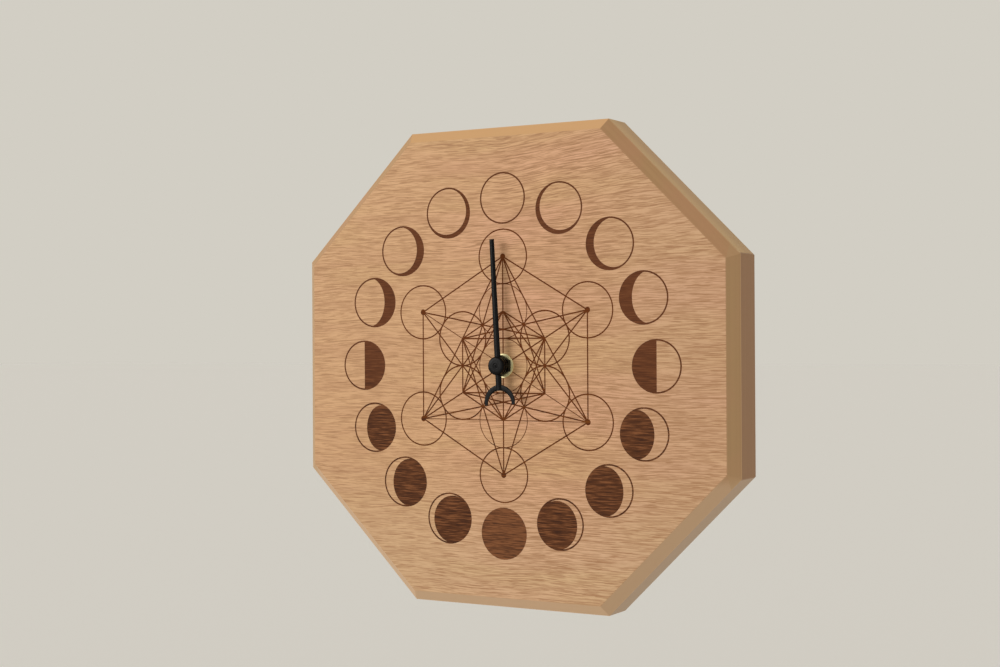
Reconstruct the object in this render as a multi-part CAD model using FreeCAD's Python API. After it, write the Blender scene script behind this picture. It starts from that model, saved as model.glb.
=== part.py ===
import FreeCAD, Part
import os
from math import acos, atan2, cos, degrees, hypot, pi, radians, sin

# An octagonal wooden wall clock whose one hand shows the phase of the moon.
# Lengths are in millimetres and angles in degrees. +X is to the right of someone who looks at the face,
# +Y points into the wall and +Z up. The shapes are drawn about the dial's axis, with the wall at y = 0,
# and are lowered by hanger_height when they are written, so that the origin of the finished part is
# the point of the hanger that bears on the wall's screw.

os.makedirs("parts", exist_ok=True)
V = FreeCAD.Vector
into_wall = V(0, 1, 0)

# Board. Its sides are measured from the dial's axis, which lies a little left of its middle.
board_left = 148.0
board_right = 151.25
board_top = 146.0
board_bottom = 147.5
board_corners = 152.1
board_thickness = 28.0
edge_chamfer = 6.5
pocket_margin = 2.0
pocket_corner = 5.0
rear_gap = 0.5
bush_hole_clearance = 0.15

# Engraving
groove_depth = 0.35
moon_count = 16
moon_ring_radius = 102.0
moon_radius = 15.8
moon_line = 1.0
circle_radius = 16.6
figure_line = 0.85
faint_line = 0.5
dot_radius = 1.8
# Each dark moon from the second to the eighth, on the right half: the middle and the half axes of the oval that
# bounds it, as shares of the moon's radius. The half moon has no oval.
phase_shares = [(0.075, 0.06, 0.893, 0.906), (0.156, 0.039, 0.818, 0.922), (0.253, 0.019, 0.720, 0.974),
                None, (-0.299, -0.020, 0.700, 0.910), (-0.205, -0.030, 0.789, 0.940),
                (-0.140, -0.045, 0.860, 0.930)]
# How far each of these seven moons stands past its even place, in degrees: the engraving is a little uneven.
uneven_degrees = [-0.2, 0.2, -0.5, 0.0, 0.25, 0.75, 0.25]

# Hand
hand_reach = 76.8
hand_tip_width = 3.0
hand_root_width = 4.1
hand_thickness = 0.6
hand_crease = 0.35
hand_degrees = -2.9
crescent_drop = 22.0
crescent_radius = 10.5
crescent_bore_radius = 8.3
crescent_bore_drop = 1.3
horn_drop = 1.7
hub_radius = 5.6
hub_rounding = 1.3
hub_collar = 1.8
hub_boss = 2.8
hub_eye_radius = 1.0
hub_eye_ring = 1.9
hub_eye_depth = 0.6
rivet_radius = 4.0
blade_eye_radius = 5.3
shaft_grip = 1.2

# Nut, washers and threaded bush
nut_sides = 6
nut_across_flats = 11.2
nut_height = 2.9
nut_bevel = 0.5
washer_radius = 7.3
washer_thickness = 0.7
rubber_radius = 10.0
rubber_thickness = 1.0
bush_radius = 3.95
bush_show = 0.3
bush_flange_radius = 6.5
bush_flange = 0.9
hand_gap = 0.4

# Movement case
case_wall = 1.2
case_corner = 3.0
bay_floor = 0.5
cover_thickness = 1.2
cover_lip = 0.5
cover_lip_wall = 0.8
fit_gap = 0.05
part_gap = 0.1

# Battery and its contacts
battery_radius = 7.25
sleeve_thickness = 0.15
can_length = 49.2
sleeve_setback = 0.6
nub_radius = 2.7
nub_length = 1.3
battery_slack = 0.2
contact_thickness = 0.4
contact_width = 8.0
contact_bump_radius = 2.2
contact_bump = 0.8
leaf_reach = 5.5
leaf_length = 1.5
strip_width = 2.0

# Wheels. The train runs from the rotor to the clutch, and from the clutch pinion to the moon wheel.
moon_teeth = 72
clutch_pinion_teeth = 10
setting_teeth = 12
moon_module = 0.30
clutch_teeth = 56
clutch_module = 0.25
train_teeth = 60
train_pinion_teeth = 8
train_module = 0.22
first_module = 0.20
wheel_thickness = 0.8
moon_wheel_thickness = 1.2
pinion_overhang = 0.4
wheel_step = 1.4
moon_wheel_lift = 1.3
clutch_wheel_lift = 3.6
end_play = 0.05
arbor_radius = 0.4
pivot_radius = 0.25
pivot_length = 0.7
pivot_gap = 0.02
shoulder_length = 0.1
boss_radius = 1.2
clutch_arbor_radius = 0.9
clutch_collar_radius = 1.6
clutch_collar_length = 0.4
clutch_spring_height = 0.4
clutch_spring_radius = 2.3
clutch_spring_thickness = 0.15
shaft_radius = 2.5
shaft_flange_radius = 3.4
shaft_flange = 0.4
rear_arbor_radius = 0.8
wheel_rim = 1.4
wheel_hub_radius = 2.0
wheel_web = 0.4
# Where the arbors stand. The rotor's place is from the dial's axis. The first, second and third arbors follow
# to its left, each at a small angle in degrees above the one before it, and the clutch arbor lies where it
# meshes with the third and with the moon wheel. The setting arbor is left of the moon wheel, at an angle below.
rotor_right = 9.6
rotor_above = 12.15
first_slope = 5.0
second_slope = 10.0
third_slope = 0.0
setting_slope = 20.0
# Widths of a tooth at its tip, pitch circle and root, as shares of the pitch
wheel_tooth_shares = (0.20, 0.44, 0.56)
pinion_tooth_shares = (0.16, 0.36, 0.34)
# Heights of a tooth above and below the pitch circle, as shares of the module
wheel_height_shares = (0.95, 1.15)
pinion_height_shares = (0.75, 1.30)

# Motor
magnet_radius = 3.0
magnet_length = 2.2
magnet_gap = 0.35
magnet_room = 0.3
stator_thickness = 1.0
stator_arm = 4.2
stator_leg = 3.5
stator_rise = 9.3
stator_fall = 8.1
coil_offset = 12.0
core_width = 4.0
bobbin_radius = 2.4
bobbin_flange_radius = 3.5
bobbin_flange = 0.6
coil_radius = 3.25
coil_end_gap = 0.5
motor_screw_radius = 0.8
motor_screw_head_radius = 1.6
motor_screw_head = 0.8
motor_screw_grip = 4.0
motor_post_radius = 1.8

# Bridge over the wheels
bridge_thickness = 0.8
bridge_bottom = 2.5
bridge_margin = 2.2
bridge_room = 0.4
post_radius = 1.6
post_gap = 0.45
bridge_screw_radius = 0.6
bridge_screw_head_radius = 1.3
bridge_screw_head = 0.5
bridge_screw_grip = 3.0
bridge_corner = 1.5
# Directions in degrees of the left post from the third wheel and of the top post from the second wheel
left_post_direction = 141.0
top_post_direction = 54.0

# Circuit board
circuit_width = 12.8
circuit_height = 9.1
circuit_thickness = 0.8
circuit_margin = 1.4
circuit_gap = 0.7
circuit_post_radius = 1.2
chip_radius = 2.2
chip_height = 0.9
crystal_radius = 1.0
crystal_length = 6.0
crystal_room = 0.3

# Setting knob
knob_radius = 5.0
knob_height = 2.1
knob_flutes = 24
flute_radius = 0.35
knob_slot_width = 1.0
knob_slot_depth = 0.4
knob_gap = 0.2
knob_recess = 0.3
cup_gap = 0.8
cup_wall = 1.0
cup_way = 0.6
stem_radius = 1.3
stem_gap = 0.06
stem_pivot_radius = 0.6
stem_cap = 0.5

# Hanger
hanger_drop = 34.0
hanger_width = 44.0
hanger_rise = 26.0
hanger_thickness = 2.0
hanger_corner = 3.0
hanger_margin = 7.0
keyhole_neck = 4.6
keyhole_entry = 9.5
keyhole_drop = 8.0
head_room_width = 13.0
head_room_above = 6.5
head_room_below = 6.5
head_room_depth = 7.0
hanger_screw_offset = 16.0
hanger_screw_radius = 1.5
hanger_screw_head_radius = 3.1
hanger_screw_head = 1.6
hanger_screw_length = 12.0
screw_slot_width = 0.8
screw_slot_length = 3.8
screw_slot_depth = 0.6

overrun = 1.0


# Places and heights


def along(direction, distance, start=(0.0, 0.0)):
    """The point at a distance from start, in a direction in degrees from +X towards +Z."""
    return start[0] + distance * cos(radians(direction)), start[1] + distance * sin(radians(direction))


def direction_to(start, end):
    """The direction in degrees from one point to another, from +X towards +Z."""
    return degrees(atan2(end[1] - start[1], end[0] - start[0]))


def centre_distance(teeth_a, teeth_b, module):
    return (teeth_a + teeth_b) * module / 2


def tip_reach(teeth, module):
    """The radius to the tips of a wheel's teeth."""
    return (teeth / 2 + wheel_height_shares[0]) * module


clutch_distance = centre_distance(moon_teeth, clutch_pinion_teeth, moon_module)
setting_distance = centre_distance(moon_teeth, setting_teeth, moon_module)
third_distance = centre_distance(clutch_teeth, train_pinion_teeth, clutch_module)
train_distance = centre_distance(train_teeth, train_pinion_teeth, train_module)
rotor_distance = centre_distance(train_teeth, train_pinion_teeth, first_module)

rotor_place = (rotor_right, rotor_above)
first_place = along(180.0 - first_slope, rotor_distance, rotor_place)
second_place = along(180.0 - second_slope, train_distance, first_place)
third_place = along(180.0 - third_slope, train_distance, second_place)
third_reach = hypot(*third_place)
third_way = direction_to((0.0, 0.0), third_place)
clutch_cosine = ((third_reach ** 2 + clutch_distance ** 2 - third_distance ** 2)
                 / (2 * third_reach * clutch_distance))
clutch_place = along(third_way + degrees(acos(clutch_cosine)), clutch_distance)
setting_place = along(180.0 + setting_slope, setting_distance)
coil_x = rotor_place[0] + coil_offset

# The three posts of the bridge stand clear of the wheels and of the motor below them.
post_reach = tip_reach(train_teeth, train_module) + post_gap + post_radius
left_post = along(left_post_direction, post_reach, third_place)
top_post = along(top_post_direction, post_reach, second_place)
right_post = (tip_reach(moon_teeth, moon_module) + post_gap + post_radius,
              rotor_place[1] - stator_fall - post_gap - post_radius)
post_places = [left_post, top_post, right_post]

# Heights that follow from these
face_y = -board_thickness
third_wheel_lift = clutch_wheel_lift + wheel_step
second_wheel_lift = third_wheel_lift + wheel_step
first_wheel_lift = second_wheel_lift + wheel_step
rotor_pinion_lift = first_wheel_lift - pinion_overhang
magnet_lift = first_wheel_lift + wheel_thickness + 2 * pinion_overhang - wheel_web / 2
stator_lift = magnet_lift + (magnet_length - stator_thickness) / 2
bridge_lift = magnet_lift + magnet_length + magnet_room
movement_depth = (case_wall + bridge_lift + bridge_thickness + bridge_screw_head + part_gap
                  + cover_thickness)
battery_depth = bay_floor + 2 * battery_radius + 2 * part_gap
case_depth = max(movement_depth, battery_depth)
circuit_lift = (case_depth - cover_thickness - case_wall - crystal_room - 2 * crystal_radius
                - circuit_thickness)
pocket_depth = rubber_thickness + case_depth + rear_gap
pocket_floor = -pocket_depth
case_front = pocket_floor + rubber_thickness
case_floor = case_front + case_wall
case_rear = case_front + case_depth
cover_seat = case_rear - cover_thickness
nut_front = face_y - washer_thickness - nut_height
bush_front = nut_front - bush_show
hub_back = bush_front - hand_gap
blade_back = hub_back - hub_collar
blade_front = blade_back - hand_thickness
hub_front = blade_front - hub_boss
shaft_front = blade_front - shaft_grip
hanger_height = board_top - hanger_drop

# Sides of the case, from the dial's axis. Its width takes the battery between its contacts. Below the bridge
# come the circuit board and the battery's bay.
inner_side = (can_length + nub_length + contact_bump + leaf_length + 2 * contact_thickness) / 2
case_side = inner_side + case_wall
inner_top = top_post[1] + bridge_margin + bridge_room
case_top = inner_top + case_wall
circuit_top = -bridge_bottom - circuit_gap
room_bottom = circuit_top - circuit_height - circuit_margin
bay_top = room_bottom - case_wall
bay_bottom = bay_top - 2 * (battery_radius + battery_slack)
case_bottom = bay_bottom - case_wall
battery_y = case_front + bay_floor + part_gap + battery_radius
battery_z = bay_bottom + battery_slack + battery_radius
battery_end = inner_side - contact_thickness - contact_bump - nub_length


def lifted(height):
    """The y of a height above the inside of the case's front."""
    return case_floor + height


# Shapes


def disc(radius, y0, y1, x=0.0, z=0.0):
    """A round bar along Y."""
    return Part.makeCylinder(radius, y1 - y0, V(x, y0, z), into_wall)


def tube(outer, inner, y0, y1, x=0.0, z=0.0):
    """A round tube along Y."""
    return disc(outer, y0, y1, x, z).cut(disc(inner, y0, y1, x, z))


def block(x0, x1, y0, y1, z0, z1):
    """A box between its sides."""
    return Part.makeBox(x1 - x0, y1 - y0, z1 - z0, V(x0, y0, z0))


def prism(points, y0, y1):
    """A straight-sided bar along Y with the outline points, each (x, z)."""
    corners = [V(x, y0, z) for x, z in points]
    return Part.Face(Part.makePolygon(corners + corners[:1])).extrude(V(0, y1 - y0, 0))


def rounded_block(x0, x1, y0, y1, z0, z1, radius):
    """A box whose four long edges along Y are rounded."""
    solid = block(x0, x1, y0, y1, z0, z1)
    edges = [e for e in solid.Edges if abs(e.tangentAt(e.FirstParameter).y) > 0.5]
    return solid.makeFillet(radius, edges)


def turned(profile, x=0.0, z=0.0):
    """A solid turned about the line along Y through (x, z) from a profile of (radius, y) points."""
    corners = [V(x + r, y, z) for r, y in profile]
    face = Part.Face(Part.makePolygon(corners + corners[:1]))
    return face.revolve(V(x, 0, z), into_wall, 360)


def octagon(y0, y1):
    """An eight-sided bar along Y. Its corners are cut at the same distance from the dial's axis."""
    cut = board_corners / cos(pi / 4)
    points = []
    for x, z in ((board_right, board_top), (-board_left, board_top), (-board_left, -board_bottom),
                 (board_right, -board_bottom)):
        on_side = (x, (cut - abs(x)) * z / abs(z))
        on_end = ((cut - abs(z)) * x / abs(x), z)
        points += [on_side, on_end] if x * z > 0 else [on_end, on_side]
    return prism(points, y0, y1)


def clock_point(turn, distance):
    """The point at a distance from the dial's axis, at an angle in degrees clockwise from the top."""
    return V(distance * sin(radians(turn)), face_y, distance * cos(radians(turn)))


# Gears


def gear(teeth, module, y0, y1, place, tooth_at, tooth_shares, height_shares):
    """A spur gear with one tooth pointing in the direction tooth_at."""
    pitch_radius = teeth * module / 2
    tip_radius = pitch_radius + height_shares[0] * module
    root_radius = pitch_radius - height_shares[1] * module
    pitch_angle = 360.0 / teeth
    tip, middle, root = [share * pitch_angle / 2 for share in tooth_shares]
    outline = [(root_radius, -root), (pitch_radius, -middle), (tip_radius, -tip), (tip_radius, tip),
               (pitch_radius, middle), (root_radius, root)]
    points = []
    for k in range(teeth):
        for radius, angle in outline:
            points.append(along(tooth_at + k * pitch_angle + angle, radius, place))
    return prism(points, y0, y1)


def wheel(teeth, module, y0, y1, place, tooth_at):
    return gear(teeth, module, y0, y1, place, tooth_at, wheel_tooth_shares, wheel_height_shares)


def pinion(teeth, module, y0, y1, place, tooth_at):
    return gear(teeth, module, y0, y1, place, tooth_at, pinion_tooth_shares, pinion_height_shares)


def meshed(direction, tooth_at, teeth, other_teeth):
    """Where a tooth of a gear points if it meshes with one whose tooth points at tooth_at, and which lies in
    the direction given as seen from the first gear. A gap of the other gear meets each tooth of the first."""
    past_tooth = ((direction - tooth_at) / (360.0 / teeth)) % 1.0
    return direction + 180.0 + (past_tooth + 0.5) * 360.0 / other_teeth


def recessed(solid, outer_teeth_radius, hub, y0, y1, place):
    """A moulded wheel with a thinner web between its rim and its hub."""
    rim = outer_teeth_radius - wheel_rim
    depth = (y1 - y0 - wheel_web) / 2
    if rim <= hub or depth <= 0:
        return solid
    for start, end in ((y0, y0 + depth), (y1 - depth, y1)):
        solid = solid.cut(tube(rim, hub, start, end, *place))
    return solid


# Engraving on the face


def flat_strip(start, end, width):
    """A straight groove's outline on the face."""
    run = end - start
    run.normalize()
    side = V(-run.z, 0, run.x) * (width / 2)
    corners = [start + side, start - side, end - side, end + side]
    return Part.Face(Part.makePolygon(corners + corners[:1]))


def flat_disc(centre, radius):
    return Part.Face(Part.Wire(Part.makeCircle(radius, centre, into_wall)))


def flat_ring(centre, radius, width):
    """A round groove's outline, with radius to its middle."""
    return flat_disc(centre, radius + width / 2).cut(flat_disc(centre, radius - width / 2))


def flat_oval(centre, half_width, half_height):
    """An upright oval. Its edge is drawn with the longer axis first."""
    if half_height >= half_width:
        long_end = centre + V(0, 0, half_height)
        short_end = centre + V(half_width, 0, 0)
    else:
        long_end = centre + V(half_width, 0, 0)
        short_end = centre + V(0, 0, half_height)
    return Part.Face(Part.Wire(Part.Ellipse(long_end, short_end, centre).toShape()))


def merged(faces):
    """One flat region from overlapping faces: the edges that only one piece of their fusion has are its outline."""
    pieces = faces[0].multiFuse(faces[1:])
    found = {}
    for face in pieces.Faces:
        for edge in face.Edges:
            same = found.setdefault(edge.hashCode(), [])
            twin = [entry for entry in same if entry[0].isSame(edge)]
            if twin:
                twin[0][1] += 1
            else:
                same.append([edge, 1])
    outline = [edge for same in found.values() for edge, uses in same if uses == 1]
    wires = [Part.Wire(run) for run in Part.sortEdges(outline)]
    return Part.makeFace(wires, "Part::FaceMakerBullseye")


def moon(number):
    """The outline and the dark part of one moon, counted clockwise from the bright one at the top."""
    half = moon_count // 2
    side = 1 if number <= half else -1
    step = number if number <= half else moon_count - number
    turn = step * 360.0 / moon_count
    if 0 < step < half:
        turn += uneven_degrees[step - 1]
    centre = clock_point(side * turn, moon_ring_radius)
    outline = flat_ring(centre, moon_radius - moon_line / 2, moon_line)
    if step == 0:
        return outline
    whole = flat_disc(centre, moon_radius)
    if step == half:
        return whole
    shares = phase_shares[step - 1]
    if shares is None:
        edge = centre - V(side * moon_radius, 0, 0)
        dark = whole.common(flat_strip(edge, centre, 2 * moon_radius))
        return merged([outline, dark])
    across, up, half_width, half_height = [share * moon_radius for share in shares]
    oval = flat_oval(centre + V(side * across, 0, up), half_width, half_height)
    dark = whole.cut(oval) if step < half / 2 else whole.common(oval)
    return merged([outline, dark])


def figure():
    """Thirteen equal circles, six round one and six beyond, with lines that join their middles."""
    outer = [clock_point(60.0 * k, 4 * circle_radius) for k in range(6)]
    inner = [clock_point(60.0 * k, 2 * circle_radius) for k in range(6)]
    faces = [flat_ring(clock_point(0.0, 0.0), circle_radius, faint_line)]
    for k in range(6):
        faces.append(flat_ring(outer[k], circle_radius, figure_line))
        faces.append(flat_ring(inner[k], circle_radius, faint_line if k % 3 == 0 else figure_line))
        faces.append(flat_disc(outer[k], dot_radius))
        faces.append(flat_strip(outer[k], outer[k - 1], figure_line))
        faces.append(flat_strip(inner[k], inner[k - 1], figure_line))
        faces.append(flat_strip(inner[k], inner[k - 2], figure_line))
        faces.append(flat_strip(outer[k], inner[k - 2], figure_line))
        faces.append(flat_strip(outer[k], inner[k - 4], figure_line))
    # One of the two large triangles, with a faint base, and the three long diagonals
    faces.append(flat_strip(outer[0], outer[2], figure_line))
    faces.append(flat_strip(outer[0], outer[4], figure_line))
    faces.append(flat_strip(outer[2], outer[4], faint_line))
    faces.append(flat_strip(outer[0], outer[3], figure_line))
    faces.append(flat_strip(outer[1], outer[4], figure_line))
    faces.append(flat_strip(outer[2], outer[5], faint_line))
    return merged(faces)


# Board


def keyhole_outline(neck, entry, y0, y1):
    """The keyhole's space along Y, its neck rounded at the top about the bearing point."""
    neck_middle = hanger_height - neck / 2
    entry_middle = neck_middle - keyhole_drop
    space = disc(neck / 2, y0, y1, 0.0, neck_middle)
    space = space.fuse(block(-neck / 2, neck / 2, y0, y1, entry_middle, neck_middle))
    return space.fuse(disc(entry / 2, y0, y1, 0.0, entry_middle))


def hanger_box():
    """The sides of the hanger plate: left, right, bottom and top."""
    top = hanger_height + hanger_margin
    return -hanger_width / 2, hanger_width / 2, top - hanger_rise, top


def clock_board():
    chamfered = octagon(face_y, 0.0)
    front = [e for e in chamfered.Edges if all(abs(v.Point.y - face_y) < fit_gap for v in e.Vertexes)]
    solid = chamfered.makeChamfer(edge_chamfer, front)
    solid = solid.cut(rounded_block(-case_side - pocket_margin, case_side + pocket_margin, pocket_floor, overrun,
                                    case_bottom - pocket_margin, case_top + pocket_margin, pocket_corner))
    solid = solid.cut(disc(bush_radius + bush_hole_clearance, face_y - overrun, pocket_floor + overrun))
    left, right, bottom, top = hanger_box()
    solid = solid.cut(rounded_block(left, right, -hanger_thickness, overrun, bottom, top, hanger_corner))
    entry_z = hanger_height - keyhole_neck / 2 - keyhole_drop
    solid = solid.cut(rounded_block(-head_room_width / 2, head_room_width / 2, -hanger_thickness - head_room_depth,
                                    -hanger_thickness + fit_gap, entry_z - head_room_below,
                                    hanger_height - keyhole_neck / 2 + head_room_above, hanger_corner))
    for side in (-1, 1):
        solid = solid.cut(disc(hanger_screw_radius, -hanger_screw_length, 0.0, side * hanger_screw_offset,
                               (bottom + top) / 2))
    solid = solid.cut(figure().extrude(into_wall * groove_depth))
    for number in range(moon_count):
        solid = solid.cut(moon(number).extrude(into_wall * groove_depth))
    return solid


def hanger_plate():
    left, right, bottom, top = hanger_box()
    solid = rounded_block(left, right, -hanger_thickness, 0.0, bottom, top, hanger_corner)
    solid = solid.cut(keyhole_outline(keyhole_neck, keyhole_entry, -hanger_thickness, 0.0))
    for side in (-1, 1):
        x = side * hanger_screw_offset
        z = (bottom + top) / 2
        solid = solid.cut(disc(hanger_screw_radius, -hanger_thickness, 0.0, x, z))
        solid = solid.cut(Part.makeCone(hanger_screw_head_radius, hanger_screw_radius, hanger_screw_head,
                                        V(x, 0, z), V(0, -1, 0)))
    return solid


def hanger_screws():
    left, right, bottom, top = hanger_box()
    screws = []
    for side in (-1, 1):
        x = side * hanger_screw_offset
        z = (bottom + top) / 2
        screw = disc(hanger_screw_radius, -hanger_screw_length, -hanger_screw_head, x, z)
        head = Part.makeCone(hanger_screw_head_radius, hanger_screw_radius, hanger_screw_head,
                             V(x, 0, z), V(0, -1, 0))
        screw = screw.fuse(head)
        for reach_x, reach_z in ((screw_slot_length / 2, screw_slot_width / 2),
                                 (screw_slot_width / 2, screw_slot_length / 2)):
            screw = screw.cut(block(x - reach_x, x + reach_x, -screw_slot_depth, overrun, z - reach_z, z + reach_z))
        screws.append(screw)
    return Part.makeCompound(screws)


# Hand


def placed_hand(solid):
    """Turns a piece drawn upright to where the hand points, clockwise from the top."""
    solid.rotate(V(0, 0, 0), into_wall, hand_degrees)
    return solid


def hand_blade():
    """A tapered strip with a shallow crease along it, a round eye at the hub and a crescent below it."""
    tail_end = -crescent_drop + crescent_bore_radius - crescent_bore_drop
    slope = (hand_root_width - hand_tip_width) / 2 / hand_reach
    tail_half = hand_root_width / 2 + slope * tail_end / 4
    outline = [(-hand_root_width / 2, 0.0), (-hand_tip_width / 2, hand_reach), (hand_tip_width / 2, hand_reach),
               (hand_root_width / 2, 0.0), (tail_half, tail_end), (-tail_half, tail_end)]
    strip = prism(outline, blade_front, blade_back)
    crest = [V(-hand_root_width / 2, blade_front, 0), V(0, blade_front - hand_crease, 0),
             V(hand_root_width / 2, blade_front, 0)]
    tip_crest = [V(-hand_tip_width / 2, blade_front, hand_reach), V(0, blade_front - hand_crease, hand_reach),
                 V(hand_tip_width / 2, blade_front, hand_reach)]
    ridge = Part.makeLoft([Part.makePolygon(crest + crest[:1]), Part.makePolygon(tip_crest + tip_crest[:1])],
                          True, True)
    horns = -crescent_drop - horn_drop
    crescent = disc(crescent_radius, blade_front, blade_back, 0.0, -crescent_drop)
    crescent = crescent.cut(disc(crescent_bore_radius, blade_front, blade_back, 0.0,
                                 -crescent_drop - crescent_bore_drop))
    crescent = crescent.cut(block(-2 * crescent_radius, 2 * crescent_radius, blade_front, blade_back,
                                  -crescent_drop - 2 * crescent_radius, horns))
    eye = disc(blade_eye_radius, blade_front, blade_back)
    solid = strip.multiFuse([ridge, crescent, eye])
    solid = solid.cut(disc(rivet_radius, blade_front - hand_crease, blade_back))
    return placed_hand(solid.removeSplitter())


def hand_hub():
    """A turned hub: a collar behind the blade, a rivet through it and a rounded boss in front."""
    collar = disc(hub_radius, blade_back, hub_back)
    rivet = disc(rivet_radius, blade_front, blade_back)
    boss = disc(hub_radius, hub_front, blade_front - hand_crease)
    rim = [e for e in boss.Edges if e.Closed and abs(e.BoundBox.YMin - hub_front) < fit_gap]
    boss = boss.makeFillet(min(hub_rounding, hub_boss / 2), rim)
    boss = boss.cut(tube(hub_eye_ring, hub_eye_radius, hub_front, hub_front + hub_eye_depth / 2))
    boss = boss.cut(disc(hub_eye_radius / 2, hub_front, hub_front + hub_eye_depth))
    neck = disc(rivet_radius, blade_front - hand_crease, blade_front)
    solid = collar.fuse(rivet).fuse(neck).fuse(boss)
    solid = solid.cut(disc(shaft_radius, shaft_front, hub_back))
    return placed_hand(solid.removeSplitter())


# Nut, washers and bush


def front_nut():
    corner = nut_across_flats / 2 / cos(pi / nut_sides)
    nut_back = face_y - washer_thickness
    corners = [along(360.0 * (k + 0.5) / nut_sides, corner) for k in range(nut_sides)]
    solid = prism(corners, nut_front, nut_back)
    rounding = turned([(0, nut_front), (corner - nut_bevel, nut_front), (corner, nut_front + nut_bevel),
                       (corner, nut_back), (0, nut_back)])
    return solid.common(rounding).cut(disc(bush_radius, nut_front, nut_back))


def front_washer():
    return tube(washer_radius, bush_radius, face_y - washer_thickness, face_y)


def rubber_washer():
    return tube(rubber_radius, bush_radius, pocket_floor, case_front)


def threaded_bush():
    barrel = disc(bush_radius, bush_front, case_floor)
    flange = disc(bush_flange_radius, case_floor, case_floor + bush_flange)
    return barrel.fuse(flange).cut(disc(shaft_radius + fit_gap, bush_front, case_floor + bush_flange))


# Case and cover


# The front shoulder of each arbor: its place and its height
clutch_shoulder = moon_wheel_lift - pinion_overhang - shoulder_length
train_shoulder_drop = pinion_overhang + shoulder_length
shoulders = [(clutch_place, clutch_shoulder),
             (setting_place, clutch_shoulder),
             (third_place, clutch_wheel_lift - train_shoulder_drop),
             (second_place, third_wheel_lift - train_shoulder_drop),
             (first_place, second_wheel_lift - train_shoulder_drop),
             (rotor_place, first_wheel_lift - train_shoulder_drop)]


def circuit_box():
    """The sides of the circuit board: left, right, bottom and top."""
    right = inner_side - circuit_margin
    return right - circuit_width, right, circuit_top - circuit_height, circuit_top


def circuit_posts():
    left, right, bottom, top = circuit_box()
    inset = circuit_post_radius + part_gap
    return [(left + inset, top - inset), (right - inset, top - inset)]


def motor_posts():
    """The two screws of the motor, at the ends of the coil's core."""
    return [(coil_x, rotor_place[1] + stator_rise - stator_leg / 2),
            (coil_x, rotor_place[1] - stator_fall + stator_leg / 2)]


def front_case():
    solid = rounded_block(-case_side, case_side, case_front, case_rear, case_bottom, case_top, case_corner)
    room_corner = case_corner - case_wall
    rear = case_rear + overrun
    solid = solid.cut(rounded_block(-inner_side, inner_side, case_floor, rear, room_bottom, inner_top, room_corner))
    solid = solid.cut(block(-inner_side, inner_side, case_floor, rear, room_bottom, 0.0))
    solid = solid.cut(block(-inner_side, inner_side, case_front + bay_floor, rear, bay_bottom, bay_top))
    solid = solid.cut(block(-case_side, case_side, cover_seat, case_rear, bay_top, case_top))
    core_front = lifted(stator_lift - stator_thickness)
    posts = [disc(motor_post_radius, case_floor, core_front, *place) for place in motor_posts()]
    posts += [disc(post_radius, case_floor, lifted(bridge_lift), *place) for place in post_places]
    posts += [disc(circuit_post_radius, case_floor, lifted(circuit_lift), *place) for place in circuit_posts()]
    posts += [disc(boss_radius, case_floor, lifted(height - end_play), *place) for place, height in shoulders]
    solid = solid.multiFuse(posts)
    holes = [disc(bush_radius, case_front, case_floor)]
    for place, height in shoulders:
        radius = stem_pivot_radius if place == setting_place else pivot_radius
        holes.append(disc(radius + pivot_gap, lifted(height - pivot_length - end_play), lifted(height), *place))
    for place in motor_posts():
        holes.append(disc(motor_screw_radius, core_front - motor_screw_grip, core_front, *place))
    bridge_front = lifted(bridge_lift)
    for place in post_places:
        holes.append(disc(bridge_screw_radius, bridge_front - bridge_screw_grip, bridge_front, *place))
    # Slots through the wall over the battery for the two contacts
    for side in (-1, 1):
        x = side * (inner_side - contact_thickness / 2)
        reach = contact_thickness / 2 + part_gap
        holes.append(block(x - reach, x + reach, battery_y - contact_width / 2 - part_gap,
                           battery_y + contact_width / 2 + part_gap, bay_top - part_gap, room_bottom + part_gap))
    return solid.cut(Part.makeCompound(holes))


def rear_cover():
    """A plate over the wheels, with a cup in it for the setting knob and a lip inside the case."""
    solid = block(-case_side, case_side, cover_seat, case_rear, bay_top, case_top)
    corners = [e for e in solid.Edges if abs(e.tangentAt(e.FirstParameter).y) > 0.5 and e.BoundBox.ZMin > 0]
    solid = solid.makeFillet(case_corner, corners)
    lip_side = inner_side - part_gap
    lip = rounded_block(-lip_side, lip_side, cover_seat - cover_lip, cover_seat, room_bottom + part_gap,
                        inner_top - part_gap, case_corner - case_wall)
    hollow_side = lip_side - cover_lip_wall
    hollow = block(-hollow_side, hollow_side, cover_seat - cover_lip, cover_seat,
                   room_bottom + part_gap + cover_lip_wall, inner_top - part_gap - cover_lip_wall)
    solid = solid.fuse(lip.cut(hollow))
    cup_inner = knob_radius + cup_gap
    cup_floor = knob_back() - knob_gap
    solid = solid.fuse(disc(cup_inner + cup_wall, cup_floor - cup_wall, cover_seat, *setting_place))
    solid = solid.cut(disc(cup_inner, cup_floor, case_rear, *setting_place))
    return solid.cut(disc(stem_radius + stem_gap, cup_floor - cup_wall, cup_floor, *setting_place))


def knob_back():
    """The y of the knob's inner face. The knob stays below the cover's outside."""
    return case_rear - knob_recess - knob_height


def bridge_plate():
    solid = rounded_block(left_post[0] - bridge_margin, right_post[0] + bridge_margin, lifted(bridge_lift),
                          lifted(bridge_lift + bridge_thickness), -bridge_bottom, top_post[1] + bridge_margin,
                          bridge_corner)
    way = knob_radius + cup_gap + cup_wall + cup_way
    front = lifted(bridge_lift)
    back = lifted(bridge_lift + bridge_thickness)
    solid = solid.cut(disc(way, front, back, *setting_place))
    for place in (clutch_place, third_place, second_place, first_place, rotor_place, (0.0, 0.0)):
        solid = solid.cut(disc(pivot_radius + pivot_gap, front, back, *place))
    for place in post_places:
        solid = solid.cut(disc(bridge_screw_radius, front, back, *place))
    return solid


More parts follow.
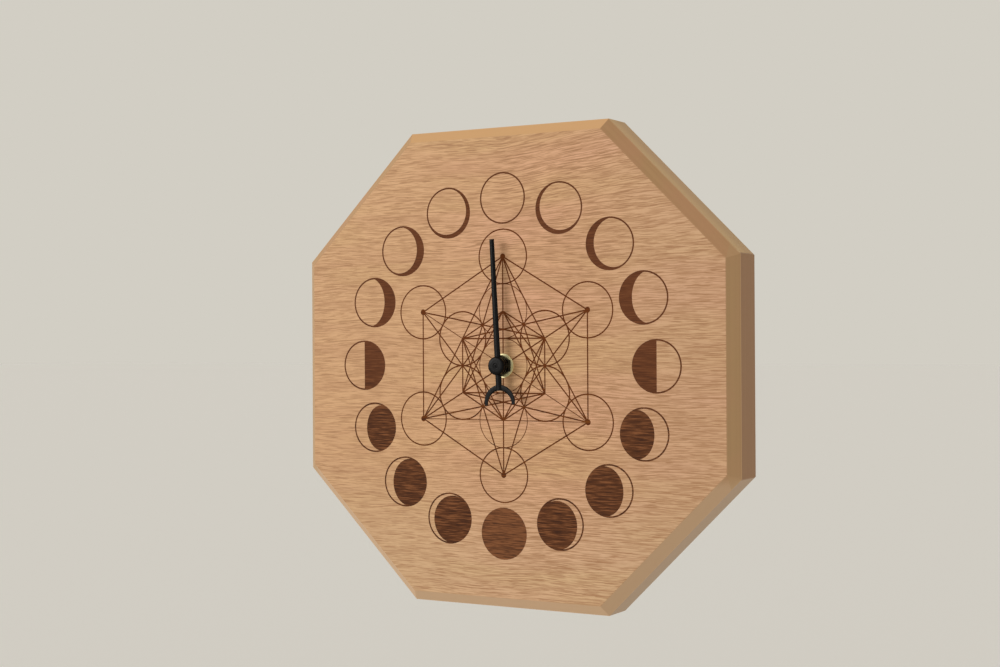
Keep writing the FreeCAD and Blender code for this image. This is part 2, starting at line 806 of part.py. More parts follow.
def pan_screw(radius, grip, head_radius, head, seat, place):
    """A round-headed screw whose head sits on y = seat and whose shank runs to the front."""
    screw = disc(radius, seat - grip, seat, *place).fuse(disc(head_radius, seat, seat + head, *place))
    slot = block(place[0] - head_radius, place[0] + head_radius, seat + head / 2, seat + head,
                 place[1] - radius / 3, place[1] + radius / 3)
    return screw.cut(slot)


def bridge_screws():
    seat = lifted(bridge_lift + bridge_thickness)
    return Part.makeCompound([pan_screw(bridge_screw_radius, bridge_screw_grip + bridge_thickness,
                                        bridge_screw_head_radius, bridge_screw_head, seat, place)
                              for place in post_places])


# Wheels and arbors


def arbor(front, back, place):
    """A thin arbor between two shoulders, with a pivot beyond each."""
    rod = disc(arbor_radius, front, back, *place)
    pivots = disc(pivot_radius, front - pivot_length, back + pivot_length, *place)
    return rod.fuse(pivots)


def train_wheel(lift, module, place, wheel_tooth, pinion_module, pinion_tooth):
    """A moulded wheel with a pinion in front of it on one arbor. The pinion reaches past the wheel before it."""
    pinion_start = lifted(lift - wheel_step - pinion_overhang)
    pinion_end = lifted(lift - wheel_step + wheel_thickness + pinion_overhang)
    body = wheel(train_teeth, module, lifted(lift), lifted(lift + wheel_thickness), place, wheel_tooth)
    body = recessed(body, train_teeth * module / 2, wheel_hub_radius, lifted(lift), lifted(lift + wheel_thickness),
                    place)
    leaves = pinion(train_pinion_teeth, pinion_module, pinion_start, pinion_end, place, pinion_tooth)
    core = train_pinion_teeth * pinion_module / 2 - pinion_height_shares[1] * pinion_module
    neck = disc(core, pinion_end, lifted(lift), *place)
    rod = arbor(pinion_start - shoulder_length, lifted(bridge_lift - end_play), place)
    return body.multiFuse([leaves, neck, rod]).removeSplitter()


# Where a tooth of each gear points, from the moon wheel back to the rotor: a tooth of each wheel points at the
# pinion that it meets.
moon_tooth = direction_to((0.0, 0.0), clutch_place)
setting_way = direction_to((0.0, 0.0), setting_place)
clutch_tooth = direction_to(clutch_place, third_place)
third_tooth = direction_to(third_place, second_place)
second_tooth = direction_to(second_place, first_place)
first_tooth = direction_to(first_place, rotor_place)
clutch_pinion_tooth = meshed(moon_tooth, moon_tooth, moon_teeth, clutch_pinion_teeth)
setting_tooth = meshed(setting_way, moon_tooth, moon_teeth, setting_teeth)
third_pinion_tooth = meshed(clutch_tooth, clutch_tooth, clutch_teeth, train_pinion_teeth)
second_pinion_tooth = meshed(third_tooth, third_tooth, train_teeth, train_pinion_teeth)
first_pinion_tooth = meshed(second_tooth, second_tooth, train_teeth, train_pinion_teeth)
rotor_tooth = meshed(first_tooth, first_tooth, train_teeth, train_pinion_teeth)


def moon_wheel():
    front = lifted(moon_wheel_lift)
    back = lifted(moon_wheel_lift + moon_wheel_thickness)
    solid = wheel(moon_teeth, moon_module, front, back, (0.0, 0.0), moon_tooth)
    solid = recessed(solid, moon_teeth * moon_module / 2, shaft_flange_radius + wheel_web, front, back, (0.0, 0.0))
    return solid.cut(disc(shaft_radius, front, back))


def output_shaft():
    """The shaft that carries the moon wheel behind the bush and the hand in front of it."""
    flange_front = lifted(moon_wheel_lift + moon_wheel_thickness)
    flange_back = flange_front + shaft_flange
    back = lifted(bridge_lift - end_play)
    solid = disc(shaft_radius, shaft_front, flange_front)
    return solid.multiFuse([disc(shaft_flange_radius, flange_front, flange_back),
                            disc(rear_arbor_radius, flange_back, back),
                            disc(pivot_radius, back, back + pivot_length)]).removeSplitter()


def clutch_pinion():
    """The pinion that turns the moon wheel, on the arbor that the clutch wheel slips on."""
    front = lifted(moon_wheel_lift - pinion_overhang)
    back = lifted(clutch_wheel_lift) - clutch_spring_height
    collar_back = lifted(clutch_wheel_lift + wheel_thickness) + clutch_collar_length
    rear = lifted(bridge_lift - end_play)
    shoulder = lifted(clutch_shoulder)
    leaves = pinion(clutch_pinion_teeth, moon_module, front, back, clutch_place, clutch_pinion_tooth)
    return leaves.multiFuse([disc(arbor_radius, shoulder, front, *clutch_place),
                             disc(clutch_arbor_radius, back, collar_back, *clutch_place),
                             disc(arbor_radius, collar_back, rear, *clutch_place),
                             disc(pivot_radius, shoulder - pivot_length, shoulder, *clutch_place),
                             disc(pivot_radius, rear, rear + pivot_length, *clutch_place)]).removeSplitter()


def clutch_spring():
    """A dished spring washer between the pinion and the clutch wheel."""
    front = lifted(clutch_wheel_lift) - clutch_spring_height
    back = lifted(clutch_wheel_lift)
    return turned([(clutch_arbor_radius, front), (clutch_arbor_radius, front + clutch_spring_thickness),
                   (clutch_spring_radius, back), (clutch_spring_radius, back - clutch_spring_thickness)],
                  *clutch_place)


def clutch_wheel():
    front = lifted(clutch_wheel_lift)
    back = lifted(clutch_wheel_lift + wheel_thickness)
    solid = wheel(clutch_teeth, clutch_module, front, back, clutch_place, clutch_tooth)
    solid = recessed(solid, clutch_teeth * clutch_module / 2, clutch_spring_radius + wheel_web, front, back,
                     clutch_place)
    return solid.cut(disc(clutch_arbor_radius + fit_gap, front, back, *clutch_place))


def clutch_collar():
    front = lifted(clutch_wheel_lift + wheel_thickness)
    return tube(clutch_collar_radius, clutch_arbor_radius, front, front + clutch_collar_length, *clutch_place)


def third_wheel():
    return train_wheel(third_wheel_lift, train_module, third_place, third_tooth, clutch_module, third_pinion_tooth)


def second_wheel():
    return train_wheel(second_wheel_lift, train_module, second_place, second_tooth, train_module,
                       second_pinion_tooth)


def first_wheel():
    return train_wheel(first_wheel_lift, first_module, first_place, first_tooth, train_module, first_pinion_tooth)


def rotor_pinion():
    """The rotor's pinion and arbor, with a seat for the magnet."""
    front = lifted(rotor_pinion_lift)
    back = lifted(magnet_lift)
    rear = lifted(bridge_lift - end_play)
    leaves = pinion(train_pinion_teeth, first_module, front, back, rotor_place, rotor_tooth)
    return leaves.fuse(arbor(front - shoulder_length, rear, rotor_place)).removeSplitter()


def rotor_magnet():
    return tube(magnet_radius, arbor_radius, lifted(magnet_lift), lifted(magnet_lift + magnet_length), *rotor_place)


# Setting knob


def setting_pinion():
    """The setting pinion and its stem, which carries the knob."""
    front = lifted(moon_wheel_lift - pinion_overhang)
    back = lifted(moon_wheel_lift + moon_wheel_thickness + pinion_overhang)
    shoulder = lifted(clutch_shoulder)
    leaves = pinion(setting_teeth, moon_module, front, back, setting_place, setting_tooth)
    return leaves.multiFuse([disc(arbor_radius + pivot_radius + pivot_gap, shoulder, front, *setting_place),
                             disc(stem_radius, back, case_rear - knob_recess - stem_cap, *setting_place),
                             disc(stem_pivot_radius, shoulder - pivot_length, shoulder,
                                  *setting_place)]).removeSplitter()


def setting_knob():
    """A fluted knob with a slot for a coin or screwdriver."""
    x, z = setting_place
    front = knob_back()
    back = front + knob_height
    solid = disc(knob_radius, front, back, x, z)
    flutes = []
    for k in range(knob_flutes):
        px, pz = along(k * 360.0 / knob_flutes, knob_radius, setting_place)
        flutes.append(disc(flute_radius, front, back, px, pz))
    solid = solid.cut(Part.makeCompound(flutes))
    slot_reach = knob_radius - 4 * flute_radius
    solid = solid.cut(block(x - slot_reach, x + slot_reach, back - min(knob_slot_depth, stem_cap), back,
                            z - knob_slot_width / 2, z + knob_slot_width / 2))
    return solid.cut(disc(stem_radius, front, back - stem_cap, x, z))


# Motor


def stator_plate():
    """A flat frame with the rotor's hole in one arm. The coil's core closes it."""
    x, z = rotor_place
    front = lifted(stator_lift)
    back = front + stator_thickness
    left = x - stator_arm
    right = coil_x + core_width / 2
    top = z + stator_rise
    bottom = z - stator_fall
    solid = block(left, x + stator_arm, front, back, bottom, top)
    solid = solid.fuse(block(left, right, front, back, top - stator_leg, top))
    solid = solid.fuse(block(left, right, front, back, bottom, bottom + stator_leg))
    solid = solid.cut(disc(magnet_radius + magnet_gap, front, back, x, z))
    for place in motor_posts():
        solid = solid.cut(disc(motor_screw_radius, front, back, *place))
    return solid.removeSplitter()


def coil_core():
    back = lifted(stator_lift)
    front = back - stator_thickness
    z = rotor_place[1]
    solid = block(coil_x - core_width / 2, coil_x + core_width / 2, front, back, z - stator_fall, z + stator_rise)
    for place in motor_posts():
        solid = solid.cut(disc(motor_screw_radius, front, back, *place))
    return solid


def coil_ends():
    """The lowest and highest z of the bobbin, between the stator's legs."""
    z = rotor_place[1]
    return z - stator_fall + stator_leg + coil_end_gap, z + stator_rise - stator_leg - coil_end_gap


def upright(radius, z0, z1):
    """A round bar along Z about the middle of the coil's core."""
    return Part.makeCylinder(radius, z1 - z0, V(coil_x, lifted(stator_lift - stator_thickness / 2), z0), V(0, 0, 1))


def coil_bobbin():
    low, high = coil_ends()
    solid = upright(bobbin_radius, low, high)
    solid = solid.fuse(upright(bobbin_flange_radius, low, low + bobbin_flange))
    solid = solid.fuse(upright(bobbin_flange_radius, high - bobbin_flange, high))
    back = lifted(stator_lift)
    hole = block(coil_x - core_width / 2, coil_x + core_width / 2, back - stator_thickness, back, low, high)
    return solid.cut(hole)


def coil_winding():
    low, high = coil_ends()
    outer = upright(coil_radius, low + bobbin_flange, high - bobbin_flange)
    return outer.cut(upright(bobbin_radius, low + bobbin_flange, high - bobbin_flange))


def stator_screws():
    seat = lifted(stator_lift + stator_thickness)
    grip = motor_screw_grip + 2 * stator_thickness
    return Part.makeCompound([pan_screw(motor_screw_radius, grip, motor_screw_head_radius, motor_screw_head, seat,
                                        place) for place in motor_posts()])


# Circuit


def circuit_board():
    left, right, bottom, top = circuit_box()
    return block(left, right, lifted(circuit_lift), lifted(circuit_lift + circuit_thickness), bottom, top)


def clock_chip():
    """The chip under its drop of resin."""
    left, right, bottom, top = circuit_box()
    seat = lifted(circuit_lift + circuit_thickness)
    x = left + chip_radius + circuit_margin
    z = (bottom + top) / 2
    rim = chip_radius
    shoulder = 0.7 * chip_radius
    return turned([(0, seat), (rim, seat), (shoulder, seat + 0.7 * chip_height), (0, seat + chip_height)], x, z)


def quartz_crystal():
    left, right, bottom, top = circuit_box()
    seat = lifted(circuit_lift + circuit_thickness)
    x = right - crystal_radius - circuit_margin
    start = (bottom + top - crystal_length) / 2
    return Part.makeCylinder(crystal_radius, crystal_length, V(x, seat + crystal_radius, start), V(0, 0, 1))


# Battery and contacts


def lying(radius, x0, x1):
    """A round bar along X about the battery's middle."""
    return Part.makeCylinder(radius, x1 - x0, V(x0, battery_y, battery_z), V(1, 0, 0))


def battery_can():
    can = lying(battery_radius - sleeve_thickness, battery_end - can_length, battery_end)
    return can.fuse(lying(nub_radius, battery_end, battery_end + nub_length)).removeSplitter()


def battery_sleeve():
    left = battery_end - can_length + sleeve_setback
    right = battery_end - sleeve_setback
    return lying(battery_radius, left, right).cut(lying(battery_radius - sleeve_thickness, left, right))


def contact_foot(x0, x1, z0, z1):
    """The end of a contact, flat under the circuit board's front."""
    back = lifted(circuit_lift)
    return block(x0, x1, back - contact_thickness, back, z0, z1)


def positive_contact():
    """A plate at the right end of the battery with a bump for its nub, and a strip up to the circuit board."""
    left, right, bottom, top = circuit_box()
    plate = block(inner_side - contact_thickness, inner_side, battery_y - contact_width / 2,
                  battery_y + contact_width / 2, battery_z - contact_width / 2, bottom + strip_width)
    bump = lying(contact_bump_radius, battery_end + nub_length, inner_side - contact_thickness)
    foot = contact_foot(right - strip_width, inner_side - contact_thickness, bottom, bottom + strip_width)
    return plate.multiFuse([bump, foot]).removeSplitter()


def negative_contact():
    """A plate at the left end with a bent leaf that presses on the can, and a strip along the wall."""
    left, right, bottom, top = circuit_box()
    wall = -inner_side
    plate = block(wall, wall + contact_thickness, battery_y - contact_width / 2, battery_y + contact_width / 2,
                  battery_z - contact_width / 2, room_bottom + strip_width)
    can_face = battery_end - can_length
    bent = [V(wall + contact_thickness, battery_y - leaf_reach / 2, 0), V(can_face, battery_y, 0),
            V(wall + contact_thickness, battery_y + leaf_reach / 2, 0),
            V(wall + contact_thickness, battery_y + leaf_reach / 2 - 2 * contact_thickness, 0),
            V(can_face - contact_thickness, battery_y, 0),
            V(wall + contact_thickness, battery_y - leaf_reach / 2 + 2 * contact_thickness, 0)]
    leaf = Part.Face(Part.makePolygon(bent + bent[:1])).extrude(V(0, 0, contact_width))
    leaf.translate(V(0, 0, battery_z - contact_width / 2))
    back = lifted(circuit_lift)
    strip = block(wall, left + strip_width, back - strip_width, back, room_bottom, room_bottom + contact_thickness)
    foot = contact_foot(left, left + strip_width, room_bottom, bottom + strip_width / 2)
    return plate.multiFuse([leaf, strip, foot]).removeSplitter()


# Writing


makers = [clock_board, hanger_plate, hanger_screws, hand_blade, hand_hub, front_nut, front_washer, rubber_washer,
          threaded_bush, front_case, rear_cover, bridge_plate, bridge_screws, output_shaft, moon_wheel,
          clutch_pinion, clutch_spring, clutch_wheel, clutch_collar, third_wheel, second_wheel, first_wheel,
          rotor_pinion, rotor_magnet, stator_plate, coil_core, coil_bobbin, coil_winding, stator_screws,
          circuit_board, clock_chip, quartz_crystal, battery_can, battery_sleeve, positive_contact,
          negative_contact, setting_pinion, setting_knob]

for maker in makers:
    shape = maker()
    solids = shape.Solids
    piece = solids[0] if len(solids) == 1 else Part.makeCompound(solids)
    piece.translate(V(0, 0, -hanger_height))
    piece.exportStep("parts/" + maker.__name__ + ".step")
    print(maker.__name__, len(solids), round(piece.Volume, 3), piece.isValid())
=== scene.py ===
# %% [markdown]
# # A moon phase clock, dressed in Blender
#
# The clock is an octagonal board of pale oiled wood. A ring of sixteen moons and a figure of thirteen circles
# are burnt into its face, and one black hand points at the moon of the day. The solids come in from the frame
# with their places already right. This lesson gives them finishes, adds the burnt wood in the grooves, and
# makes the hand and its hub again with the softer edges that real ones have.
#
# First the frame is loaded, and the board's size is printed.

# %% Load the frame
import math
from types import SimpleNamespace
import bmesh
import bpy
import numpy as np
from mathutils import Matrix, Vector


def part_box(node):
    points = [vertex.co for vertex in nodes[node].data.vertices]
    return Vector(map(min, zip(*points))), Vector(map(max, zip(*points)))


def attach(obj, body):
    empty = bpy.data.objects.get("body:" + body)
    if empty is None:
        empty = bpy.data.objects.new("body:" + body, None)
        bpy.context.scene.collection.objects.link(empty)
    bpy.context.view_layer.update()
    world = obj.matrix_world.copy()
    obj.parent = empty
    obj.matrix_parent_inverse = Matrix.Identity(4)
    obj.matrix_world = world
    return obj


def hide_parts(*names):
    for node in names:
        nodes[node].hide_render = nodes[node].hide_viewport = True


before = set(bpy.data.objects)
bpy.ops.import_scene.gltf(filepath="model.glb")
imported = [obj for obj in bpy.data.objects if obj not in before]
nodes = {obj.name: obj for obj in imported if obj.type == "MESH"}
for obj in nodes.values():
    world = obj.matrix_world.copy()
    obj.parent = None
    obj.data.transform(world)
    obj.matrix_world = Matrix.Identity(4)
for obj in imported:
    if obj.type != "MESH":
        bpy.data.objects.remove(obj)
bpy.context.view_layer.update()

# %% [markdown]
# Everything is in metres. The dial's axis runs along Y, 112 mm below the hanger's bearing point, and the face
# lies 28 mm in front of the wall. These few numbers place every piece that is added, so they stand together
# here. The front is towards negative Y.

# %% The dial's place and the levels on it
mm = 0.001
dial = Vector((0.0, 0.0, -112.0 * mm))
face = -28.0 * mm
sides = {"right": 151.25 * mm, "left": 148.0 * mm, "top": 146.0 * mm, "bottom": 147.5 * mm}
cut_corners = 152.1 * mm
chamfer = 6.5 * mm
groove_floor = face + 0.35 * mm
blade_back = face - 6.1 * mm
blade_front = face - 6.7 * mm
hand_turn = math.radians(-2.9)
low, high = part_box("clock_board")
print("board", [round((high[k] - low[k]) / mm, 2) for k in range(3)], "mm")

# %% [markdown]
# ## Meshes from formulas
#
# A surface can be drawn by hand with tools, or worked out as a grid of points. Here each new piece is a grid,
# whose rows and columns are the two parameters of its formula. The helpers below turn such a grid into faces,
# close its seams and poles by merging equal points, and let the normals point outwards.

# %% Grid helpers
merge_reach = 0.001 * mm
sliver_reach = 0.0001 * mm


def grid_faces(rows, columns):
    """Quads between neighbours of a grid that closes on itself: point (r, c) is number r * columns + c."""
    r = np.arange(rows - 1)[:, None]
    c = np.arange(columns)[None, :]
    after = (c + 1) % columns
    corners = [r * columns + c, r * columns + after, (r + 1) * columns + after, (r + 1) * columns + c]
    return np.stack([np.broadcast_to(k, (rows - 1, columns)) for k in corners], axis=-1).reshape(-1, 4)


def joined(*shells):
    """Several (points, faces) pairs as one, with the later face numbers moved up."""
    points, faces, count = [], [], 0
    for shell_points, shell_faces in shells:
        points.append(shell_points)
        faces.append(shell_faces + count)
        count += len(shell_points)
    return np.concatenate(points), np.concatenate(faces)


def make_piece(name, points, faces, body, slot, sharp=35.0):
    """A piece of the clock from arrays of points and faces, merged, turned outwards and set on its body."""
    mesh = bpy.data.meshes.new(name)
    mesh.vertices.add(len(points))
    mesh.vertices.foreach_set("co", np.ascontiguousarray(points, dtype=np.float32).ravel())
    mesh.loops.add(faces.size)
    mesh.loops.foreach_set("vertex_index", np.ascontiguousarray(faces, dtype=np.int32).ravel())
    mesh.polygons.add(len(faces))
    starts = np.arange(0, faces.size, faces.shape[1], dtype=np.int32)
    mesh.polygons.foreach_set("loop_start", starts)
    mesh.update(calc_edges=True)
    work = bmesh.new()
    work.from_mesh(mesh)
    bmesh.ops.remove_doubles(work, verts=work.verts, dist=merge_reach)
    bmesh.ops.dissolve_degenerate(work, dist=sliver_reach, edges=work.edges)
    bmesh.ops.recalc_face_normals(work, faces=work.faces)
    work.to_mesh(mesh)
    work.free()
    mesh.polygons.foreach_set("use_smooth", np.ones(len(mesh.polygons), dtype=bool))
    mesh.set_sharp_from_angle(angle=math.radians(sharp))
    piece = bpy.data.objects.new(name, mesh)
    bpy.context.scene.collection.objects.link(piece)
    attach(piece, body)
    print(name, len(mesh.vertices), "points", len(mesh.polygons), "faces")
    return piece


print("a grid of 3 rows and 4 columns has", len(grid_faces(3, 4)), "faces")

# %% [markdown]
# ## Finishes from nodes
#
# A finish is a small tree of nodes that reads the place of a point on the object and gives a colour, a
# roughness and a bump. Image textures would need files and a layout of the surface, while noise on the
# object's own coordinates fits the solid as real grain does. This class keeps the trees below short.
# Colours are written as they look, from 0 to 255, and are turned into the linear values that the shader
# works with.

# %% A finish and its tools
def seen(red, green, blue):
    """A colour as it looks on a screen, turned into linear light: ((v + 0.055) / 1.055) to the power 2.4."""
    values = [v / 255 for v in (red, green, blue)]
    return tuple(v / 12.92 if v < 0.04045 else ((v + 0.055) / 1.055) ** 2.4 for v in values) + (1.0,)


class Finish:
    """A material under construction. Most methods add one node and return what it gives out."""

    def __init__(self, name, colour, roughness, metallic=0.0):
        self.material = bpy.data.materials.new(name)
        self.material.use_nodes = True
        self.tree = self.material.node_tree
        self.shader = self.tree.nodes["Principled BSDF"]
        self.put(self.shader, {"Base Color": colour, "Roughness": roughness, "Metallic": metallic})
        self.place = self.add("TexCoord").outputs["Object"]

    def put(self, node, inputs):
        """Gives each named input a plain value, or a link where the value comes from another node."""
        for key, value in inputs.items():
            if isinstance(value, bpy.types.NodeSocket):
                self.tree.links.new(value, node.inputs[key])
            else:
                node.inputs[key].default_value = value

    def add(self, kind, inputs=(), **settings):
        """A shader node of this kind with its settings and inputs."""
        node = self.tree.nodes.new("ShaderNode" + kind)
        for key, value in settings.items():
            setattr(node, key, value)
        self.put(node, dict(inputs))
        return node

    def math(self, operation, a, b=0.0, c=0.0):
        """One step of arithmetic. The six methods after it are the steps that come most often."""
        return self.add("Math", {0: a, 1: b, 2: c}, operation=operation).outputs[0]

    def plus(self, a, b):
        return self.math("ADD", a, b)

    def minus(self, a, b):
        return self.math("SUBTRACT", a, b)

    def times(self, a, b):
        return self.math("MULTIPLY", a, b)

    def larger(self, a, b):
        return self.math("MAXIMUM", a, b)

    def size(self, a):
        """a without its sign."""
        return self.math("ABSOLUTE", a)

    def scaled(self, a, factor, offset):
        """a times factor, plus offset."""
        return self.math("MULTIPLY_ADD", a, factor, offset)

    def axes(self):
        """The point's x, y and z."""
        return self.add("SeparateXYZ", {0: self.place}).outputs

    def point(self, x, y, z):
        return self.add("CombineXYZ", {0: x, 1: y, 2: z}).outputs[0]

    def noise(self, scales, place=None, detail=2.0, roughness=0.5):
        """Noise whose lumps are about 1 / scale metres long along each axis."""
        spread = self.add("Mapping", {"Vector": place or self.place, "Scale": scales}).outputs[0]
        settings = {"Vector": spread, "Scale": 1.0, "Detail": detail, "Roughness": roughness}
        return self.add("TexNoise", settings).outputs["Fac"]

    def between(self, value, start, end, low=0.0, high=1.0):
        """Rises smoothly from low to high while value goes from start to end."""
        settings = {"Value": value, "From Min": start, "From Max": end, "To Min": low, "To Max": high}
        return self.add("MapRange", settings, interpolation_type="SMOOTHSTEP").outputs[0]

    def mix(self, share, first, second):
        """The first colour where share is 0, and the second where it is 1."""
        made = self.add("Mix", data_type="RGBA")
        colours = [s for s in made.inputs if s.type == "RGBA"]
        for socket, value in ((made.inputs[0], share), (colours[0], first), (colours[1], second)):
            if isinstance(value, bpy.types.NodeSocket):
                self.tree.links.new(value, socket)
            else:
                socket.default_value = value
        return [s for s in made.outputs if s.type == "RGBA"][0]

    def bump(self, height, distance, strength):
        """Raises the surface by height times distance in metres, as far as light can tell."""
        made = self.add("Bump", {"Height": height, "Distance": distance, "Strength": strength})
        self.put(self.shader, {"Normal": made.outputs[0]})


def coat(node_names, finish):
    """The finish on these solids, as their only material."""
    for name in node_names:
        nodes[name].data.materials.clear()
        nodes[name].data.materials.append(finish.material)
    print(finish.material.name, "on", ", ".join(node_names))


print("a middle grey of 128 is", round(seen(128, 128, 128)[0], 3), "in linear light")

# %% [markdown]
# ## The camera
#
# The photograph was taken from the right of the clock and very slightly below its middle, about a metre
# away. A camera can be placed by eye, but here its place was worked out from the engraved circles, which
# are true circles on the board and ovals in the picture. It also leans over by a third of a degree, as the
# picture does.

# %% The camera at the photograph's angle
azimuth = math.radians(30.008)
elevation = math.radians(-0.219)
roll = math.radians(-0.308)
sensor_width, focal_length = 36.0, 58.63
camera_place = (0.4932, face - 0.8576, -0.0962)
nearest_seen = 0.01
level_share = math.cos(elevation)
back = Vector((math.sin(azimuth) * level_share, -math.cos(azimuth) * level_share, math.sin(elevation)))
right = Vector((math.cos(azimuth), math.sin(azimuth), 0.0))
up = back.cross(right)
leaning_right = right * math.cos(roll) + up * math.sin(roll)
leaning_up = up * math.cos(roll) - right * math.sin(roll)
lens = bpy.data.cameras.new("camera")
lens.sensor_fit = "HORIZONTAL"
lens.sensor_width = sensor_width
lens.lens = focal_length
lens.clip_start = nearest_seen
camera = bpy.data.objects.new("camera", lens)
camera.matrix_world = Matrix((leaning_right, leaning_up, back)).transposed().to_4x4()
camera.location = camera_place
bpy.context.scene.collection.objects.link(camera)
bpy.context.scene.camera = camera
print("camera", [round(v, 4) for v in camera.location])

# %% [markdown]
# ## Floor, background and light
#
# A plain studio shows the clock without its surroundings. The world gives a little more than half of the
# light on the face, evenly from all sides. One large soft lamp gives the rest, from the left and in front,
# as a window did in the photograph. The pale background is only a colour that the camera, gloss and glass
# see, so it adds no light. The levels are set so that a colour on the face renders about as it is written.

# %% The world
sky_strength = 0.56
world = bpy.data.worlds.new("studio")
bpy.context.scene.world = world
world.use_nodes = True
tree = world.node_tree
tree.nodes.clear()


def even_light(colour, strength):
    """A background of one colour."""
    node = tree.nodes.new("ShaderNodeBackground")
    node.inputs["Color"].default_value = colour
    node.inputs["Strength"].default_value = strength
    return node.outputs[0]


def either(first, second):
    """One where either of two flags is one: the larger of the two."""
    node = tree.nodes.new("ShaderNodeMath")
    node.operation = "MAXIMUM"
    tree.links.new(first, node.inputs[0])
    tree.links.new(second, node.inputs[1])
    return node.outputs[0]


ray = tree.nodes.new("ShaderNodeLightPath").outputs
seen_directly = either(either(ray["Is Camera Ray"], ray["Is Glossy Ray"]), ray["Is Transmission Ray"])
choice = tree.nodes.new("ShaderNodeMixShader")
tree.links.new(seen_directly, choice.inputs[0])
tree.links.new(even_light(seen(255, 252, 247), sky_strength), choice.inputs[1])
tree.links.new(even_light(seen(210, 206, 196), 1.0), choice.inputs[2])
world_end = tree.nodes.new("ShaderNodeOutputWorld")
tree.links.new(choice.outputs[0], world_end.inputs["Surface"])
print("world", len(tree.nodes), "nodes")

# %% The lamp and the floor
lamp_towards = (-0.60, -0.78, 0.17)
lamp_share, lamp_width = 0.58, 34.0
lamp_colour = (1.0, 0.975, 0.94)
floor_level, floor_half = -0.45, 20.0
floor_colour, floor_roughness = (0.955, 0.935, 0.875, 1.0), 0.9


def soft_sun(name, towards, share, degrees, colour):
    """A sun that gives a surface facing it a share of full light: share times pi watts per square metre."""
    data = bpy.data.lights.new(name, "SUN")
    data.energy = share * math.pi
    data.angle = math.radians(degrees)
    data.color = colour
    lamp = bpy.data.objects.new(name, data)
    lamp.rotation_mode = "QUATERNION"
    lamp.rotation_quaternion = Vector(towards).to_track_quat("Z", "Y")
    bpy.context.scene.collection.objects.link(lamp)


soft_sun("window", lamp_towards, lamp_share, lamp_width, lamp_colour)
floor_corners = [(-floor_half, -floor_half, floor_level), (floor_half, -floor_half, floor_level),
                 (floor_half, floor_half, floor_level), (-floor_half, floor_half, floor_level)]
floor_mesh = bpy.data.meshes.new("floor")
floor_mesh.from_pydata(floor_corners, [], [(0, 1, 2, 3)])
floor = bpy.data.objects.new("floor", floor_mesh)
bpy.context.scene.collection.objects.link(floor)
paper = bpy.data.materials.new("pale floor")
paper.use_nodes = True
paper_shader = paper.node_tree.nodes["Principled BSDF"]
paper_shader.inputs["Base Color"].default_value = floor_colour
paper_shader.inputs["Roughness"].default_value = floor_roughness
floor.data.materials.append(paper)
bpy.context.scene.view_settings.view_transform = "Standard"

# %% [markdown]
# ## Oiled wood
#
# The board is cut from one wide plank whose grain runs across the clock. Close up, the face is tan with
# long soft bands of pink and yellow, and thousands of fine darker ripples and pores lie along the grain.
# They rise a little to the right near the upper right edge. Noise that is stretched far more along X than
# along Z draws them, and bending its coordinates bends the grain. First the places are worked out that the
# colours follow.

# %% Places on the board
bend_start, bend_slope = 60.0 * mm, 1.7
wobble_height = 6.0 * mm
side_blend = 0.1 * mm


def board_places(oak):
    """The places on the board that its colours follow.

    x and z are measured from the dial's axis, and depth from the wall. The grain's own height is z, less a
    bend that grows with x and z in the upper right, plus a slow wobble. Outside is how far a point lies
    outside the octagon: its distance from the axis towards each side, less the side's own, where the
    distance towards a cut corner is (|x| + |z|) / root 2, and the largest of the five counts. Past the
    ends, only the left and right sides count. On top is 1 where the top or bottom side is nearer than a cut
    corner.
    """
    x, depth, z = oak.axes()
    z = oak.minus(z, dial.z)
    past_ends = oak.larger(oak.minus(x, sides["right"]), oak.minus(oak.times(x, -1.0), sides["left"]))
    upright = oak.larger(oak.minus(z, sides["top"]), oak.minus(oak.times(z, -1.0), sides["bottom"]))
    corners = oak.scaled(oak.plus(oak.size(x), oak.size(z)), math.sqrt(0.5), -cut_corners)
    outside = oak.larger(oak.larger(past_ends, upright), corners)
    on_top = oak.between(oak.minus(upright, corners), -side_blend, side_blend)
    bend = oak.times(oak.larger(oak.minus(z, bend_start), 0.0), oak.larger(x, 0.0))
    wobble = oak.times(oak.minus(oak.noise((12.0, 9.0, 16.0), detail=1.0), 0.5), wobble_height)
    height = oak.plus(oak.scaled(bend, -bend_slope, z), wobble)
    return SimpleNamespace(x=x, depth=depth, z=z, height=height, grain=oak.point(x, depth, height),
                           outside=outside, past_ends=past_ends, on_top=on_top)


print("cut corners lie", round(cut_corners / mm, 2), "mm from the axis")

# %% [markdown]
# The face is mixed in layers, as a painter would: first the soft bands and ribbons, then a slow drift of
# the whole colour, and last the fine marks. The marks are of three kinds. Ripples wave along the grain,
# fibres are faint and dense, and dashes are short dark pores.

# %% The face of the board
pink_band, yellow_band = seen(210, 158, 121), seen(206, 163, 114)
brown_ribbon, dark_mark = seen(188, 139, 99), seen(165, 121, 83)
dull_right, pale_bottom = seen(190, 153, 120), seen(200, 172, 134)
yellow_drift = (20.0 * mm, -80.0 * mm)
right_drift = (20.0 * mm, 130.0 * mm)
bottom_drift = (-40.0 * mm, -130.0 * mm)
ripple_drift = (-110.0 * mm, 20.0 * mm)
mark_drift = (-80.0 * mm, 60.0 * mm)
ripple_pitch, ripple_wander = 1.45 * mm, 17.0


